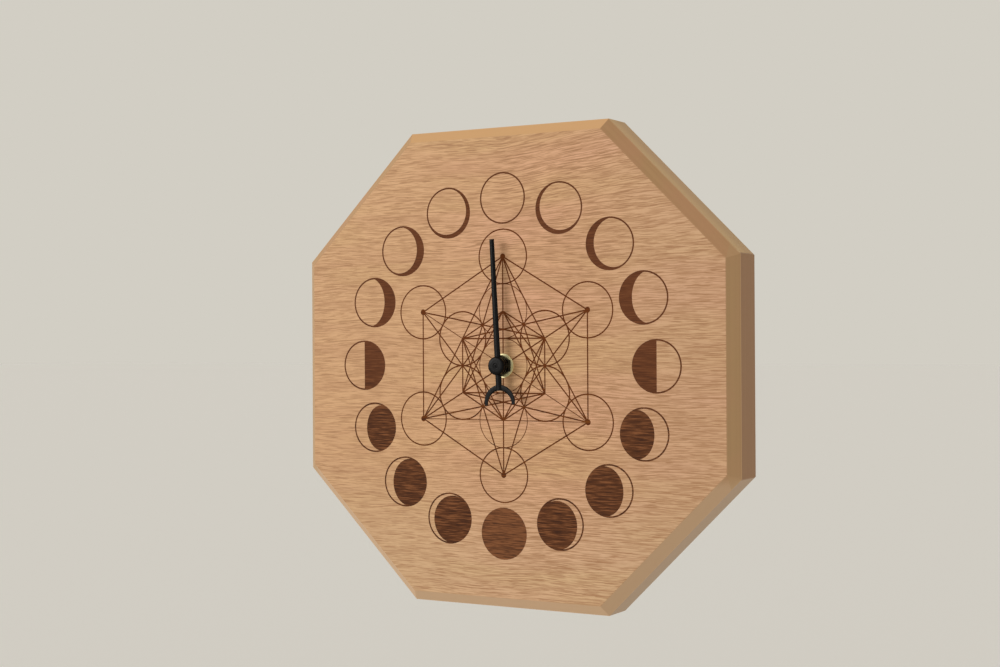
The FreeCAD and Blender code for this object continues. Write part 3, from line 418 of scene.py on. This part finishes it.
def soft_bands(oak, at):
    """Pink and yellow bands with brown ribbons, drifting to yellow left, dull right and pale below."""
    bands = oak.between(oak.noise((7.0, 20.0, 34.0), at.grain), 0.36, 0.64)
    bands = oak.larger(bands, oak.between(at.x, *yellow_drift, 0.0, 0.75))
    colour = oak.mix(bands, pink_band, yellow_band)
    ribbons = oak.between(oak.noise((14.0, 60.0, 150.0), at.grain), 0.42, 0.70, 0.0, 0.4)
    colour = oak.mix(ribbons, colour, brown_ribbon)
    colour = oak.mix(oak.between(at.x, *right_drift, 0.0, 0.5), colour, dull_right)
    return oak.mix(oak.between(at.z, *bottom_drift, 0.0, 0.45), colour, pale_bottom)


def grain_marks(oak, at):
    """How strong the fine marks are, the strongest of the three kinds, growing a little to the right.

    Ripples are the sine of the grain's height over the pitch with a wandering phase, strong in some patches
    and weak in others and on the left. Fibres and dashes are noise in long thin lumps.
    """
    wander = oak.times(oak.noise((46.0, 120.0, 120.0), at.grain, 1.0), ripple_wander)
    phase = oak.scaled(at.height, 2 * math.pi / ripple_pitch, wander)
    wave = oak.between(oak.math("SINE", phase), 0.0, 1.0)
    patch = oak.between(oak.noise((55.0, 100.0, 260.0), at.grain, 1.0), 0.38, 0.62, 0.05, 0.52)
    ripples = oak.times(oak.times(wave, patch), oak.between(at.x, *ripple_drift, 0.45, 1.0))
    fibres = oak.between(oak.noise((80.0, 240.0, 1500.0), at.grain), 0.46, 0.64, 0.0, 0.5)
    dashes = oak.between(oak.noise((85.0, 300.0, 2500.0), at.grain, 1.5), 0.52, 0.63, 0.0, 0.9)
    marks = oak.larger(oak.larger(ripples, fibres), dashes)
    return oak.times(marks, oak.between(at.x, *mark_drift, 0.96, 1.2))


print("ripples lie", round(ripple_pitch / mm, 2), "mm apart")

# %% [markdown]
# The chamfers and sides were planed after the face, so they are smoother and more olive. They are darker at
# the two ends, where they cross the grain, and painted shade darkens these ends further. A thin painted
# highlight lies where two planes meet. Painted light makes them paler below, golden on top and lighter on the
# upper and lower cut sides, and on the upper cut sides it fades as painted shade towards the wall. All of it
# depends on which plane a point lies on.

# %% The planed edges
olive, olive_streak, olive_mottle = seen(182, 143, 98), seen(168, 128, 86), seen(185, 137, 99)
# Painted light: paler below, golden on top, and lighter on the upper and lower cut sides.
painted_light_below, painted_light_above = seen(200, 167, 133), seen(212, 165, 113)
painted_light_upper_side, painted_light_lower_side = seen(218, 178, 119), seen(187, 158, 129)
end_chamfer_wood = seen(180, 147, 104)
# The ends' colours: darker end grain, darkened further as painted shade.
end_grain_and_shade, end_grain_and_shade_streak = seen(160, 117, 77), seen(147, 104, 67)
edge_highlight, burnt_wall = seen(212, 174, 130), seen(96, 52, 25)
chamfer_back = face + chamfer
# Heights over which the painted light below and on top comes in.
painted_light_below_reach = (-60.0 * mm, -70.0 * mm)
painted_light_above_reach = (0.0, 10.0 * mm)
upper_cut = (62.0 * mm, 63.5 * mm)
lower_cut = (-62.0 * mm, -63.5 * mm)
shade_end = -6.0 * mm
end_chamfer_reach = (-chamfer, 0.3 * mm - chamfer)
end_grain_reach = (-1.0 * mm, -0.2 * mm)
# Widths of the painted highlight lines along the chamfer's inner and outer edges.
inner_line, outer_line = (0.5 * mm, 0.1 * mm), (0.55 * mm, 0.1 * mm)
outer_line_reach = (-1.0 * mm, -0.3 * mm)
wall_top = (face + 0.07 * mm, face + 0.12 * mm)
wall_foot = (groove_floor + 0.1 * mm, groove_floor + 0.05 * mm)
groove_reach = (-15.0 * mm, -16.0 * mm)


def planed_edges(oak, at, on_side):
    """The colour of the chamfers and sides from their height and side, with painted light and shade in it."""
    streaks = oak.noise((650.0, 500.0, 1.0), oak.point(at.outside, at.depth, 0.0))
    streaks = oak.between(streaks, 0.30, 0.75, 0.0, 0.6)
    mottle = oak.between(oak.noise((34.0, 60.0, 34.0), detail=3.0), 0.42, 0.66, 0.0, 0.7)
    colour = oak.mix(mottle, oak.mix(streaks, olive, olive_streak), olive_mottle)
    # Painted light: paler below and golden on top, then lighter on the upper and lower cut sides.
    colour = oak.mix(oak.between(at.z, *painted_light_below_reach, 0.0, 0.9), colour, painted_light_below)
    colour = oak.mix(oak.times(at.on_top, oak.between(at.z, *painted_light_above_reach)), colour, painted_light_above)
    upper_side = oak.times(on_side, oak.between(at.z, *upper_cut))
    # Painted shade: the painted light on the upper cut sides weakens towards the wall.
    wall_shade_fade = oak.between(at.depth, chamfer_back, shade_end, 1.0, 0.55)
    colour = oak.mix(oak.times(upper_side, wall_shade_fade), colour, painted_light_upper_side)
    colour = oak.mix(oak.times(on_side, oak.between(at.z, *lower_cut)), colour, painted_light_lower_side)
    end_chamfer = oak.times(oak.between(at.past_ends, *end_chamfer_reach), oak.minus(1.0, on_side))
    colour = oak.mix(oak.times(end_chamfer, 0.5), colour, end_chamfer_wood)
    # The ends: darker as end grain and darker still as painted shade.
    end_grain = oak.times(oak.between(at.past_ends, *end_grain_reach), oak.scaled(on_side, 0.7, 0.3))
    return oak.mix(end_grain, colour, oak.mix(streaks, end_grain_and_shade, end_grain_and_shade_streak))


def painted_edge_highlights(oak, at, on_chamfer):
    """How strong the painted highlight is along the inner and the outer edge of the chamfer."""
    from_inner = oak.size(oak.plus(at.outside, chamfer))
    inner = oak.times(oak.between(from_inner, *inner_line, 0.0, 0.25), on_chamfer)
    from_outer = oak.size(oak.minus(at.depth, chamfer_back))
    near_side = oak.between(at.outside, *outer_line_reach)
    return oak.larger(inner, oak.times(oak.between(from_outer, *outer_line, 0.0, 0.35), near_side))


def groove_walls(oak, at):
    """One on the walls of the grooves: under the face, above the grooves' floor and well inside the edge."""
    wall = oak.times(oak.between(at.depth, *wall_top), oak.between(at.depth, *wall_foot))
    return oak.times(wall, oak.between(at.outside, *groove_reach))


print("the chamfer ends", round(-chamfer_back / mm, 2), "mm in front of the wall")

# %% The board's finish
on_chamfer_reach = (-chamfer, 0.35 * mm - chamfer)
before_back = (-1.0 * mm, -2.0 * mm)
on_side_reach = (chamfer_back, chamfer_back + 0.4 * mm)
planed_reach = (-0.4 * mm, -0.1 * mm)


def oiled_wood():
    """The face's bands and marks, then the planed edges with painted light, shade and highlights, and the
    burnt groove walls.
    """
    oak = Finish("oiled wood", seen(200, 154, 116), 0.52)
    at = board_places(oak)
    on_chamfer = oak.times(oak.between(at.outside, *on_chamfer_reach), oak.between(at.depth, *before_back))
    on_side = oak.between(at.depth, *on_side_reach)
    planed_share = oak.larger(on_chamfer, oak.between(at.outside, *planed_reach))
    marks = oak.times(grain_marks(oak, at), oak.scaled(planed_share, -0.85, 1.0))
    colour = oak.mix(marks, soft_bands(oak, at), dark_mark)
    colour = oak.mix(oak.times(planed_share, 0.9), colour, planed_edges(oak, at, on_side))
    # Painted highlight along both edges of the chamfer.
    colour = oak.mix(painted_edge_highlights(oak, at, on_chamfer), colour, edge_highlight)
    colour = oak.mix(groove_walls(oak, at), colour, burnt_wall)
    oak.put(oak.shader, {"Base Color": colour, "Roughness": oak.between(marks, 0.0, 0.7, 0.5, 0.62),
                         "Specular IOR Level": 0.35})
    oak.bump(oak.minus(1.0, marks), distance=0.04 * mm, strength=0.6)
    return oak


coat(["clock_board"], oiled_wood())

# %% [markdown]
# ## The burnt engraving
#
# A laser burnt the moons and the lines about a third of a millimetre into the wood. The upper moons are a
# rather even reddish brown. The lower ones are darker, with the grain left standing in them as streaks, and
# the full moon is a little paler again. Their colour must have crisp edges, so it isn't painted on the
# board. Thin slabs of burnt wood lie in the grooves, a tenth of a millimetre under the face. The lines
# cross hundreds of times, which no single grid can follow, so the slabs take their outline from the floors
# of the grooves: each floor triangle gives a top, and each open edge gives a wall.

# %% Slabs in the grooves
slab_front = face + 0.1 * mm
slab_back = groove_floor - 0.005 * mm
inside_ring = 84.0 * mm
floor_tolerance = 0.01 * mm
same_point_digits = 7
slab_sharp = 20.0


def groove_slab(keep):
    """A closed slab over the groove floors that keep(x, z) picks.

    The floors' triangles are copied to the slab's front level and, turned over, to its back level. An edge
    that only one triangle has is on the outline, and a strip joins its two copies.
    """
    mesh = nodes["clock_board"].data
    points = np.empty(len(mesh.vertices) * 3)
    mesh.vertices.foreach_get("co", points)
    points = points.reshape(-1, 3)
    mesh.calc_loop_triangles()
    triangles = np.empty(len(mesh.loop_triangles) * 3, dtype=np.int64)
    mesh.loop_triangles.foreach_get("vertices", triangles)
    triangles = triangles.reshape(-1, 3)
    on_floor = (np.abs(points[triangles][:, :, 1] - groove_floor) < floor_tolerance).all(axis=1)
    middle = points[triangles].mean(axis=1)
    triangles = triangles[on_floor & keep(middle[:, 0], middle[:, 2] - dial.z)]
    places = np.round(points[triangles.ravel()][:, [0, 2]], same_point_digits)
    flat, number = np.unique(places, axis=0, return_inverse=True)
    triangles = number.reshape(-1, 3)
    edges = np.concatenate([triangles[:, [0, 1]], triangles[:, [1, 2]], triangles[:, [2, 0]]])
    pairs, uses = np.unique(np.sort(edges, axis=1), axis=0, return_counts=True)
    once = {tuple(edge) for edge in pairs[uses == 1]}
    rim = np.array([edge for edge in edges if tuple(sorted(edge)) in once])
    count = len(flat)
    front = np.column_stack([flat[:, 0], np.full(count, slab_front), flat[:, 1]])
    rear = np.column_stack([flat[:, 0], np.full(count, slab_back), flat[:, 1]])
    walls = np.concatenate([np.column_stack([rim[:, 1], rim[:, 0], rim[:, 0] + count]),
                            np.column_stack([rim[:, 1], rim[:, 0] + count, rim[:, 1] + count])])
    return np.concatenate([front, rear]), np.concatenate([triangles, triangles[:, ::-1] + count, walls])


moon_slab = groove_slab(lambda x, z: np.hypot(x, z) > inside_ring)
figure_slab = groove_slab(lambda x, z: np.hypot(x, z) <= inside_ring)
moons = make_piece("burnt_moons", *moon_slab, "clock_body", "oak", slab_sharp)
lines = make_piece("burnt_figure", *figure_slab, "clock_body", "oak", slab_sharp)

# %% Burnt wood
charred, pale_char = seen(60, 34, 22), seen(138, 92, 62)
full_moon_sides = (19.0 * mm, 17.0 * mm)
full_moon_top = (-80.0 * mm, -84.0 * mm)
darkening = (12.0 * mm, -45.0 * mm)


def full_share(burnt, x, height):
    """One on the full moon at the bottom of the ring and zero elsewhere: near x = 0 and low down."""
    near = burnt.between(burnt.size(x), *full_moon_sides)
    return burnt.times(near, burnt.between(height, *full_moon_top))


def burnt_wood(name, upper, lower, streak):
    """Reddish brown that darkens below the middle of the dial, with streaks of grain along X."""
    burnt = Finish(name, upper, 0.75)
    x, depth, z = burnt.axes()
    height = burnt.minus(z, dial.z)
    low_share = burnt.between(height, *darkening)
    colour = burnt.mix(low_share, upper, lower)
    fine = burnt.noise((95.0, 100.0, 1750.0), detail=2.0, roughness=0.6)
    streaky = burnt.scaled(low_share, 0.55, 0.4)
    full = full_share(burnt, x, height)
    raised = burnt.scaled(full, 0.07, fine)
    colour = burnt.mix(burnt.times(burnt.between(raised, 0.50, 0.64), streaky), colour, streak)
    colour = burnt.mix(burnt.times(burnt.between(fine, 0.47, 0.34), streaky), colour, charred)
    colour = burnt.mix(burnt.times(full, 0.15), colour, pale_char)
    burnt.put(burnt.shader, {"Base Color": colour, "Specular IOR Level": 0.1})
    burnt.bump(fine, distance=0.06 * mm, strength=0.8)
    return burnt


burnt_moons = burnt_wood("burnt moons", seen(98, 56, 32), seen(85, 49, 27), seen(127, 80, 49))
burnt_lines = burnt_wood("burnt lines", seen(98, 48, 13), seen(94, 47, 13), seen(112, 62, 20))
moons.data.materials.append(burnt_moons.material)
lines.data.materials.append(burnt_lines.material)
print("burnt pieces", moons.name, lines.name)

# %% [markdown]
# ## The hand
#
# The hand is pressed from thin steel and painted black. A crease along its middle stiffens it, so its left
# half catches the window and its right half stays dark. A hexagon of flat faces would be quick, but its
# edges would be too sharp to catch light. Instead a rounded section is carried along the blade, and another
# round the crescent. The sizes below are the pressed sheet's own, with heights along the hand from the
# dial's axis.

# %% The hand's sizes and two helpers
sheet = blade_back - blade_front
crease = 0.35 * mm
blade_ends = (-15.0 * mm, 76.8 * mm)
tail_half, hub_half, tip_half = 1.95 * mm, 2.05 * mm, 1.5 * mm
edge_fall, shoulder_fall, ridge_fall, back_fall = 0.22 * mm, 0.06 * mm, 0.015 * mm, 0.1 * mm
outer_radius, outer_middle = 10.5 * mm, -22.0 * mm
inner_radius, inner_middle = 8.3 * mm, -23.3 * mm
horn_level = -23.7 * mm
eye_bore, eye_radius, eye_edge = 4.02 * mm, 5.3 * mm, 0.1 * mm


def turned_with_hand(points):
    """Points turned about the dial's axis by the hand's angle: x cos a + z sin a and z cos a - x sin a."""
    x, y, z = points.T
    cos_a, sin_a = math.cos(hand_turn), math.sin(hand_turn)
    return np.column_stack([x * cos_a + z * sin_a, y, z * cos_a - x * sin_a + dial.z])


def with_caps(rows):
    """The rows of a bar, with a first and a last row gathered in their middles, which close its ends."""
    first, last = [np.broadcast_to(row.mean(axis=0), row.shape)[None] for row in (rows[0], rows[-1])]
    rows = np.concatenate([first, rows, last])
    return rows.reshape(-1, 3), grid_faces(len(rows), rows.shape[1])


print("the hand reaches", round(blade_ends[1] / mm, 1), "mm from the axis")

# %% Blade, crescent and eye
def blade_strip(steps=24):
    """The section is carried up the blade, widest at the hub and evenly narrower towards tail and tip.

    Across, the share s runs from -1 to 1. The front lies at blade_front - crease (1 - |s|), its two edges are
    rounded off, its ridge is a little blunt, and the back is flat.
    """
    front_shares = np.array([-1.0, -0.985, -0.93, -0.6, -0.3, -0.06, 0.0, 0.06, 0.3, 0.6, 0.93, 0.985, 1.0])
    back_shares = np.array([1.0, 0.95, 0.0, -0.95, -1.0])
    front = blade_front - crease * (1 - np.abs(front_shares))
    front[[0, -1]] = blade_front + edge_fall
    front[[1, -2]] = blade_front + shoulder_fall
    front[len(front) // 2] += ridge_fall
    back = np.full(len(back_shares), blade_back)
    back[[0, -1]] -= back_fall
    shares, depth = np.concatenate([front_shares, back_shares]), np.concatenate([front, back])
    z = np.linspace(*blade_ends, steps)
    half = np.interp(z, [blade_ends[0], 0.0, blade_ends[1]], [tail_half, hub_half, tip_half])
    wide = (steps, shares.size)
    rows = np.stack([half[:, None] * shares, np.broadcast_to(depth, wide), np.broadcast_to(z[:, None], wide)],
                    axis=-1)
    return with_caps(rows)


def crescent(steps=72):
    """A rounded bar from horn to horn, between an outer and an inner arc that both end at the horns' level.

    An arc of radius r about (0, m) has the points (r cos a, r sin a + m), with a from one end to the other.
    The section goes from the inner to the outer arc along the front and comes back along the rear.
    """
    share = np.linspace(0.0, 1.0, steps)
    arcs = []
    for radius, middle in ((inner_radius, inner_middle), (outer_radius, outer_middle)):
        start = math.asin((horn_level - middle) / radius)
        angle = start + share * (math.pi - 2 * start)
        arcs.append(np.column_stack([radius * np.cos(angle), radius * np.sin(angle) + middle]))
    inner, outer = arcs
    across_shares = np.array([0.0, 0.06, 0.3, 0.7, 0.94, 1.0, 1.0, 0.9, 0.1, 0.0])
    depth = np.array([0.16, 0.02, 0.0, 0.0, 0.02, 0.16, 0.5, 0.59, 0.59, 0.5]) * mm + blade_front
    flat = inner[:, None, :] + across_shares[None, :, None] * (outer - inner)[:, None, :]
    rows = np.stack([flat[..., 0], np.broadcast_to(depth, flat.shape[:2]), flat[..., 1]], axis=-1)
    return with_caps(rows)


def lathe(profile, steps=96):
    """A profile of (radius, depth) points turned about the dial's axis: x = r cos a and z = r sin a."""
    radius, depth = np.array(profile).T
    angle = np.linspace(0.0, 2 * math.pi, steps, endpoint=False)
    rows = np.stack([radius[:, None] * np.cos(angle), np.broadcast_to(depth[:, None], (radius.size, steps)),
                     radius[:, None] * np.sin(angle)], axis=-1)
    return rows.reshape(-1, 3), grid_faces(radius.size, steps)


eye_profile = [(eye_bore, blade_front), (eye_radius - eye_edge, blade_front),
               (eye_radius, blade_front + eye_edge), (eye_radius, blade_front + sheet - eye_edge),
               (eye_radius - eye_edge, blade_front + sheet), (eye_bore, blade_front + sheet)]
eye = lathe(eye_profile + eye_profile[:1])
hand_points, hand_faces = joined(blade_strip(), crescent(), eye)
blade = make_piece("black_blade", turned_with_hand(hand_points), hand_faces, "moon_hand", "black_hand")
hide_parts("hand_blade")

# %% [markdown]
# The hub is turned from a bar and riveted through the blade. From the front it is a black button with a
# rounded rim, a shallow ring cut round a small eye, and a centre dimple. A profile turned about the dial's
# axis gives all of it, and the arcs in the profile are worked out from their angle.

# %% The hub's sizes
hub_radius, neck_radius, shaft_bore = 5.6 * mm, 4.0 * mm, 2.52 * mm
collar_back, button_back, button_front = face - 4.3 * mm, face - 7.05 * mm, face - 9.5 * mm
shaft_end = face - 7.88 * mm
collar_edge, button_edge, button_round = 0.2 * mm, 0.15 * mm, 1.3 * mm
crown_radius, crown_fall = 3.2 * mm, 0.01 * mm
ring_outer, ring_inner, ring_edge = 1.9 * mm, 1.0 * mm, 0.15 * mm
ring_floor = (1.7 * mm, 1.2 * mm)
ring_depth = 0.3 * mm
dimple_radius, dimple_depth, dimple_edge = 0.5 * mm, 0.6 * mm, 0.1 * mm


def arc(centre_radius, centre_depth, radius, start, stop, count=4):
    """Points of a rounding in a profile, at radius from their middle, between two angles in degrees."""
    angle = np.radians(np.linspace(start, stop, count))
    return [(centre_radius + radius * math.cos(a), centre_depth + radius * math.sin(a)) for a in angle]


print("the hub is", round((collar_back - button_front) / mm, 2), "mm long")

# %% Hub
profile = [(shaft_bore, collar_back), (hub_radius - collar_edge, collar_back)]
profile += arc(hub_radius - collar_edge, collar_back - collar_edge, collar_edge, 90, 0)
profile += [(hub_radius, blade_back + collar_edge)]
profile += arc(hub_radius - collar_edge, blade_back + collar_edge, collar_edge, 0, -90)
profile += [(neck_radius, blade_back), (neck_radius, button_back), (hub_radius - button_edge, button_back)]
profile += arc(hub_radius - button_edge, button_back - button_edge, button_edge, 90, 0)
profile += arc(hub_radius - button_round, button_front + button_round, button_round, 0, -78, 12)
profile += [(crown_radius, button_front + 2 * crown_fall),
            (ring_outer + ring_edge, button_front + crown_fall)]
profile += arc(ring_outer, button_front + ring_edge, ring_edge, -90, -180)
profile += [(radius, button_front + ring_depth) for radius in ring_floor]
profile += arc(ring_inner, button_front + ring_edge, ring_edge, 0, -90)
profile += [(dimple_radius + dimple_edge, button_front + crown_fall),
            (dimple_radius, button_front + dimple_edge),
            (dimple_radius, button_front + dimple_depth - dimple_edge),
            (dimple_radius - 1.5 * dimple_edge, button_front + dimple_depth),
            (0.0, button_front + dimple_depth)]
bore_profile = [(shaft_bore, collar_back), (shaft_bore, shaft_end), (0.0, shaft_end)]
hub_points, hub_faces = joined(lathe(profile), lathe(bore_profile))
hub = make_piece("black_hub", turned_with_hand(hub_points), hub_faces, "moon_hand", "black_hand")
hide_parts("hand_hub")

# %% Black paint
def black_paint():
    """Satin black with a hint of blue, uneven in gloss as sprayed paint is."""
    paint = Finish("black paint", seen(8, 9, 12), 0.3)
    cloud = paint.noise((600.0, 600.0, 600.0), detail=3.0)
    paint.put(paint.shader, {"Base Color": paint.mix(cloud, seen(6, 6, 7), seen(15, 14, 14)),
                             "Roughness": paint.between(cloud, 0.3, 0.7, 0.22, 0.36),
                             "Specular IOR Level": 0.08})
    paint.bump(paint.noise((5000.0, 5000.0, 5000.0), detail=1.0), distance=0.01 * mm, strength=0.4)
    return paint


black = black_paint()
blade.data.materials.append(black.material)
hub.data.materials.append(black.material)
coat(["front_nut"], black)

# %% [markdown]
# ## Turned brass
#
# The washer under the nut, the threaded bush and the shaft are turned from brass. A cutting tool leaves fine
# rings, so their colour and roughness depend on the distance from the dial's axis and on the depth. The rings
# are noise that reads only these two numbers.

# %% Brass
def turned_metal(name, light, dark, roughness, metallic):
    """Rings of slightly different gloss: noise of the distance from the dial's axis and of the depth."""
    metal = Finish(name, light, roughness, metallic)
    x, depth, z = metal.axes()
    z = metal.minus(z, dial.z)
    radius = metal.math("SQRT", metal.plus(metal.times(x, x), metal.times(z, z)))
    rings = metal.noise((6000.0, 6000.0, 1.0), metal.point(radius, depth, 0.0))
    stain = metal.noise((260.0, 260.0, 260.0))
    colour = metal.mix(metal.between(stain, 0.4, 0.65, 0.0, 0.6), light, dark)
    metal.put(metal.shader, {"Base Color": metal.mix(metal.between(rings, 0.4, 0.7, 0.0, 0.35), colour, dark),
                             "Roughness": metal.between(rings, 0.3, 0.7, roughness - 0.06, roughness + 0.1)})
    metal.bump(rings, distance=0.01 * mm, strength=0.5)
    return metal


lacquered_brass = turned_metal("lacquered brass", seen(250, 242, 190), seen(232, 214, 150), 0.40, 0.25)
coat(["front_washer"], lacquered_brass)
brass = turned_metal("turned brass", seen(228, 200, 130), seen(196, 160, 92), 0.22, 1.0)
coat(["threaded_bush", "output_shaft"], brass)

# %% [markdown]
# ## Plated steel
#
# The hanger, the screws and the motor's metal are rolled or drawn steel with a thin plating. Rolling leaves
# streaks along one direction, and handling leaves faint clouds. The streaks are noise stretched along the
# axis that the sheet was rolled in, so each metal has scales of its own. The magnet is sintered, so its
# scales are alike and it shows grains instead of streaks.

# %% Steel and its platings
def plated_steel(name, light, dark, roughness, scales):
    """Metal with streaks from rolling, stretched along the axes as scales says, and faint cloudy stains."""
    metal = Finish(name, light, roughness, 1.0)
    streak = metal.noise(scales, detail=3.0, roughness=0.6)
    stain = metal.noise((120.0, 120.0, 120.0), detail=3.0)
    colour = metal.mix(metal.between(streak, 0.35, 0.7, 0.0, 0.7), light, dark)
    metal.put(metal.shader, {"Base Color": metal.mix(metal.between(stain, 0.5, 0.75, 0.0, 0.4), colour, dark),
                             "Roughness": metal.between(streak, 0.3, 0.7, roughness, roughness + 0.14)})
    metal.bump(streak, distance=0.008 * mm, strength=0.5)
    return metal


zinc = plated_steel("zinc plate", seen(196, 200, 204), seen(150, 156, 164), 0.32, (180.0, 900.0, 3200.0))
coat(["hanger_plate"], zinc)
yellow_zinc = plated_steel("yellow zinc", seen(222, 190, 112), seen(186, 148, 78), 0.3,
                           (900.0, 900.0, 2400.0))
coat(["hanger_screws"], yellow_zinc)
steel = plated_steel("bright steel", seen(190, 190, 194), seen(140, 140, 146), 0.25, (2000.0, 600.0, 2000.0))
coat(["bridge_screws", "stator_screws", "clutch_spring", "clutch_collar"], steel)
core = plated_steel("motor steel", seen(176, 177, 182), seen(120, 122, 128), 0.38, (500.0, 500.0, 2600.0))
coat(["stator_plate", "coil_core"], core)
nickel = plated_steel("nickel plate", seen(212, 208, 196), seen(170, 164, 150), 0.24, (300.0, 2600.0, 2600.0))
coat(["positive_contact", "negative_contact"], nickel)
magnet = plated_steel("sintered magnet", seen(96, 96, 102), seen(60, 60, 66), 0.5, (3000.0, 3000.0, 3000.0))
coat(["rotor_magnet"], magnet)

# %% [markdown]
# ## Moulded plastics
#
# The movement's case and cover are moulded in black plastic with a fine spark texture, and the wheels and the
# bridge in smoother coloured plastic. One recipe with a grain size and two near colours serves them all: the
# texture is a noise bump, and the slow change of colour is what keeps plastic from looking like flat paint.

# %% Plastics and rubber
def moulded(name, light, dark, roughness, grain, depth):
    """Two near colours in slow clouds, and a spark texture of grain lumps to a metre, depth metres deep."""
    plastic = Finish(name, light, roughness)
    slow = plastic.noise((70.0, 70.0, 70.0))
    spark = plastic.noise((grain, grain, grain), roughness=0.6)
    colour = plastic.mix(plastic.between(slow, 0.35, 0.65), light, dark)
    colour = plastic.mix(plastic.between(spark, 0.5, 0.8, 0.0, 0.35), colour, dark)
    gloss = plastic.between(spark, 0.3, 0.7, roughness - 0.06, roughness + 0.08)
    plastic.put(plastic.shader, {"Base Color": colour, "Roughness": gloss})
    plastic.bump(spark, distance=depth, strength=0.7)
    return plastic


smooth = (0.36, 4200.0, 0.006 * mm)
coat(["front_case"], moulded("case plastic", seen(48, 49, 52), seen(36, 37, 40), 0.55, 2600.0, 0.03 * mm))
coat(["rear_cover"], moulded("cover plastic", seen(53, 54, 57), seen(40, 41, 44), 0.58, 2200.0, 0.035 * mm))
coat(["setting_knob"], moulded("knob plastic", seen(58, 59, 62), seen(44, 45, 48), 0.45, 4200.0, 0.015 * mm))
coat(["rubber_washer"], moulded("black rubber", seen(42, 41, 40), seen(30, 30, 30), 0.85, 1600.0, 0.05 * mm))
coat(["bridge_plate"],
     moulded("bridge plastic", seen(232, 230, 221), seen(218, 215, 203), 0.42, 3600.0, 0.01 * mm))
coat(["coil_bobbin"],
     moulded("bobbin plastic", seen(236, 232, 218), seen(222, 216, 198), 0.4, 3600.0, 0.01 * mm))
coat(["moon_wheel", "third_wheel", "rotor_pinion", "setting_pinion"],
     moulded("white wheel plastic", seen(238, 236, 228), seen(224, 221, 210), *smooth))
coat(["clutch_wheel", "second_wheel"],
     moulded("green wheel plastic", seen(96, 166, 118), seen(78, 148, 102), *smooth))
coat(["first_wheel", "clutch_pinion"],
     moulded("yellow wheel plastic", seen(228, 196, 88), seen(214, 178, 70), *smooth))

# %% [markdown]
# ## Coil and circuit
#
# The winding is hundreds of turns of enamelled copper wire. Modelling each turn would cost more points than
# the rest of the clock, so the solid ring gets fine rounded stripes along its axis instead, with painted
# shade between them. The circuit board is green lacquer over copper tracks, which show as slightly lighter
# straight bands.

# %% Coil and circuit
wire_pitch = 0.16 * mm
upright_tracks = {"half_pitch": 0.9 * mm, "edge": (0.55 * mm, 0.62 * mm)}
level_tracks = {"half_pitch": 1.3 * mm, "edge": (0.95 * mm, 1.02 * mm)}


def copper_turns():
    """Stripes along Z, one per turn of wire: a triangle wave of z over the pitch, rounded into a bump, with
    painted shade in the valleys.
    """
    wire = Finish("enamelled copper", seen(196, 108, 62), 0.3, 1.0)
    half_pitch = wire_pitch / 2
    turn = wire.math("PINGPONG", wire.axes()[2], half_pitch)
    round_turn = wire.between(turn, 0.0, half_pitch)
    slow = wire.noise((400.0, 400.0, 900.0))
    colour = wire.mix(wire.between(slow, 0.4, 0.7), seen(206, 116, 68), seen(170, 84, 46))
    # Painted shade: the colour darkens to deep brown in the valleys between turns.
    wire.put(wire.shader, {"Base Color": wire.mix(round_turn, seen(112, 50, 28), colour),
                           "Roughness": wire.between(slow, 0.3, 0.7, 0.24, 0.38)})
    wire.bump(round_turn, distance=0.05 * mm, strength=0.8)
    return wire


def green_lacquer():
    """Green with lighter bands over the tracks: square waves of x in some parts and of z in the others."""
    lacquer = Finish("green lacquer", seen(38, 104, 72), 0.28)
    x, depth, z = lacquer.axes()
    bands = [lacquer.between(lacquer.math("PINGPONG", place, tracks["half_pitch"]), *tracks["edge"])
             for place, tracks in ((x, upright_tracks), (z, level_tracks))]
    part = lacquer.between(lacquer.noise((240.0, 240.0, 240.0), detail=0.0), 0.49, 0.51)
    track = lacquer.plus(lacquer.times(bands[0], part), lacquer.times(bands[1], lacquer.minus(1.0, part)))
    colour = lacquer.mix(track, seen(30, 92, 62), seen(58, 128, 84))
    gloss = lacquer.between(track, 0.0, 1.0, 0.32, 0.24)
    lacquer.put(lacquer.shader, {"Base Color": colour, "Roughness": gloss})
    lacquer.bump(track, distance=0.02 * mm, strength=0.6)
    return lacquer


coat(["coil_winding"], copper_turns())
coat(["circuit_board"], green_lacquer())
coat(["clock_chip"], moulded("chip resin", seen(34, 34, 36), seen(24, 24, 26), 0.3, 1200.0, 0.05 * mm))
crystal_can = plated_steel("crystal can", seen(208, 208, 212), seen(168, 168, 174), 0.2,
                           (500.0, 3000.0, 3000.0))
coat(["quartz_crystal"], crystal_can)

# %% [markdown]
# ## The battery
#
# The battery is a plain AA cell: a bright steel can in a printed plastic sleeve. The sleeve has no words,
# only a dark green body and a pale gold band at its positive end, with a thin line between them. The bands
# are steps along X, the battery's own axis, so they run round it as the print does.

# %% Battery
line_start, band_start = 11.35 * mm, 11.95 * mm
print_edge = 0.05 * mm


def printed_sleeve():
    """Colour steps along X: green body, thin pale line, gold band at the positive end."""
    sleeve = Finish("printed sleeve", seen(24, 78, 56), 0.26)
    x = sleeve.axes()[0]
    cloud = sleeve.noise((220.0, 220.0, 220.0))
    body = sleeve.mix(cloud, seen(20, 70, 50), seen(30, 90, 64))
    band = sleeve.mix(cloud, seen(196, 164, 96), seen(214, 184, 118))
    with_line = sleeve.mix(sleeve.between(x, line_start, line_start + print_edge), body, seen(226, 222, 208))
    colour = sleeve.mix(sleeve.between(x, band_start, band_start + print_edge), with_line, band)
    sleeve.put(sleeve.shader, {"Base Color": colour, "Roughness": sleeve.between(cloud, 0.3, 0.7, 0.2, 0.32)})
    sleeve.bump(cloud, distance=0.02 * mm, strength=0.5)
    return sleeve


coat(["battery_sleeve"], printed_sleeve())
can_steel = plated_steel("battery steel", seen(214, 214, 214), seen(176, 176, 178), 0.2,
                         (200.0, 1600.0, 1600.0))
coat(["battery_can"], can_steel)
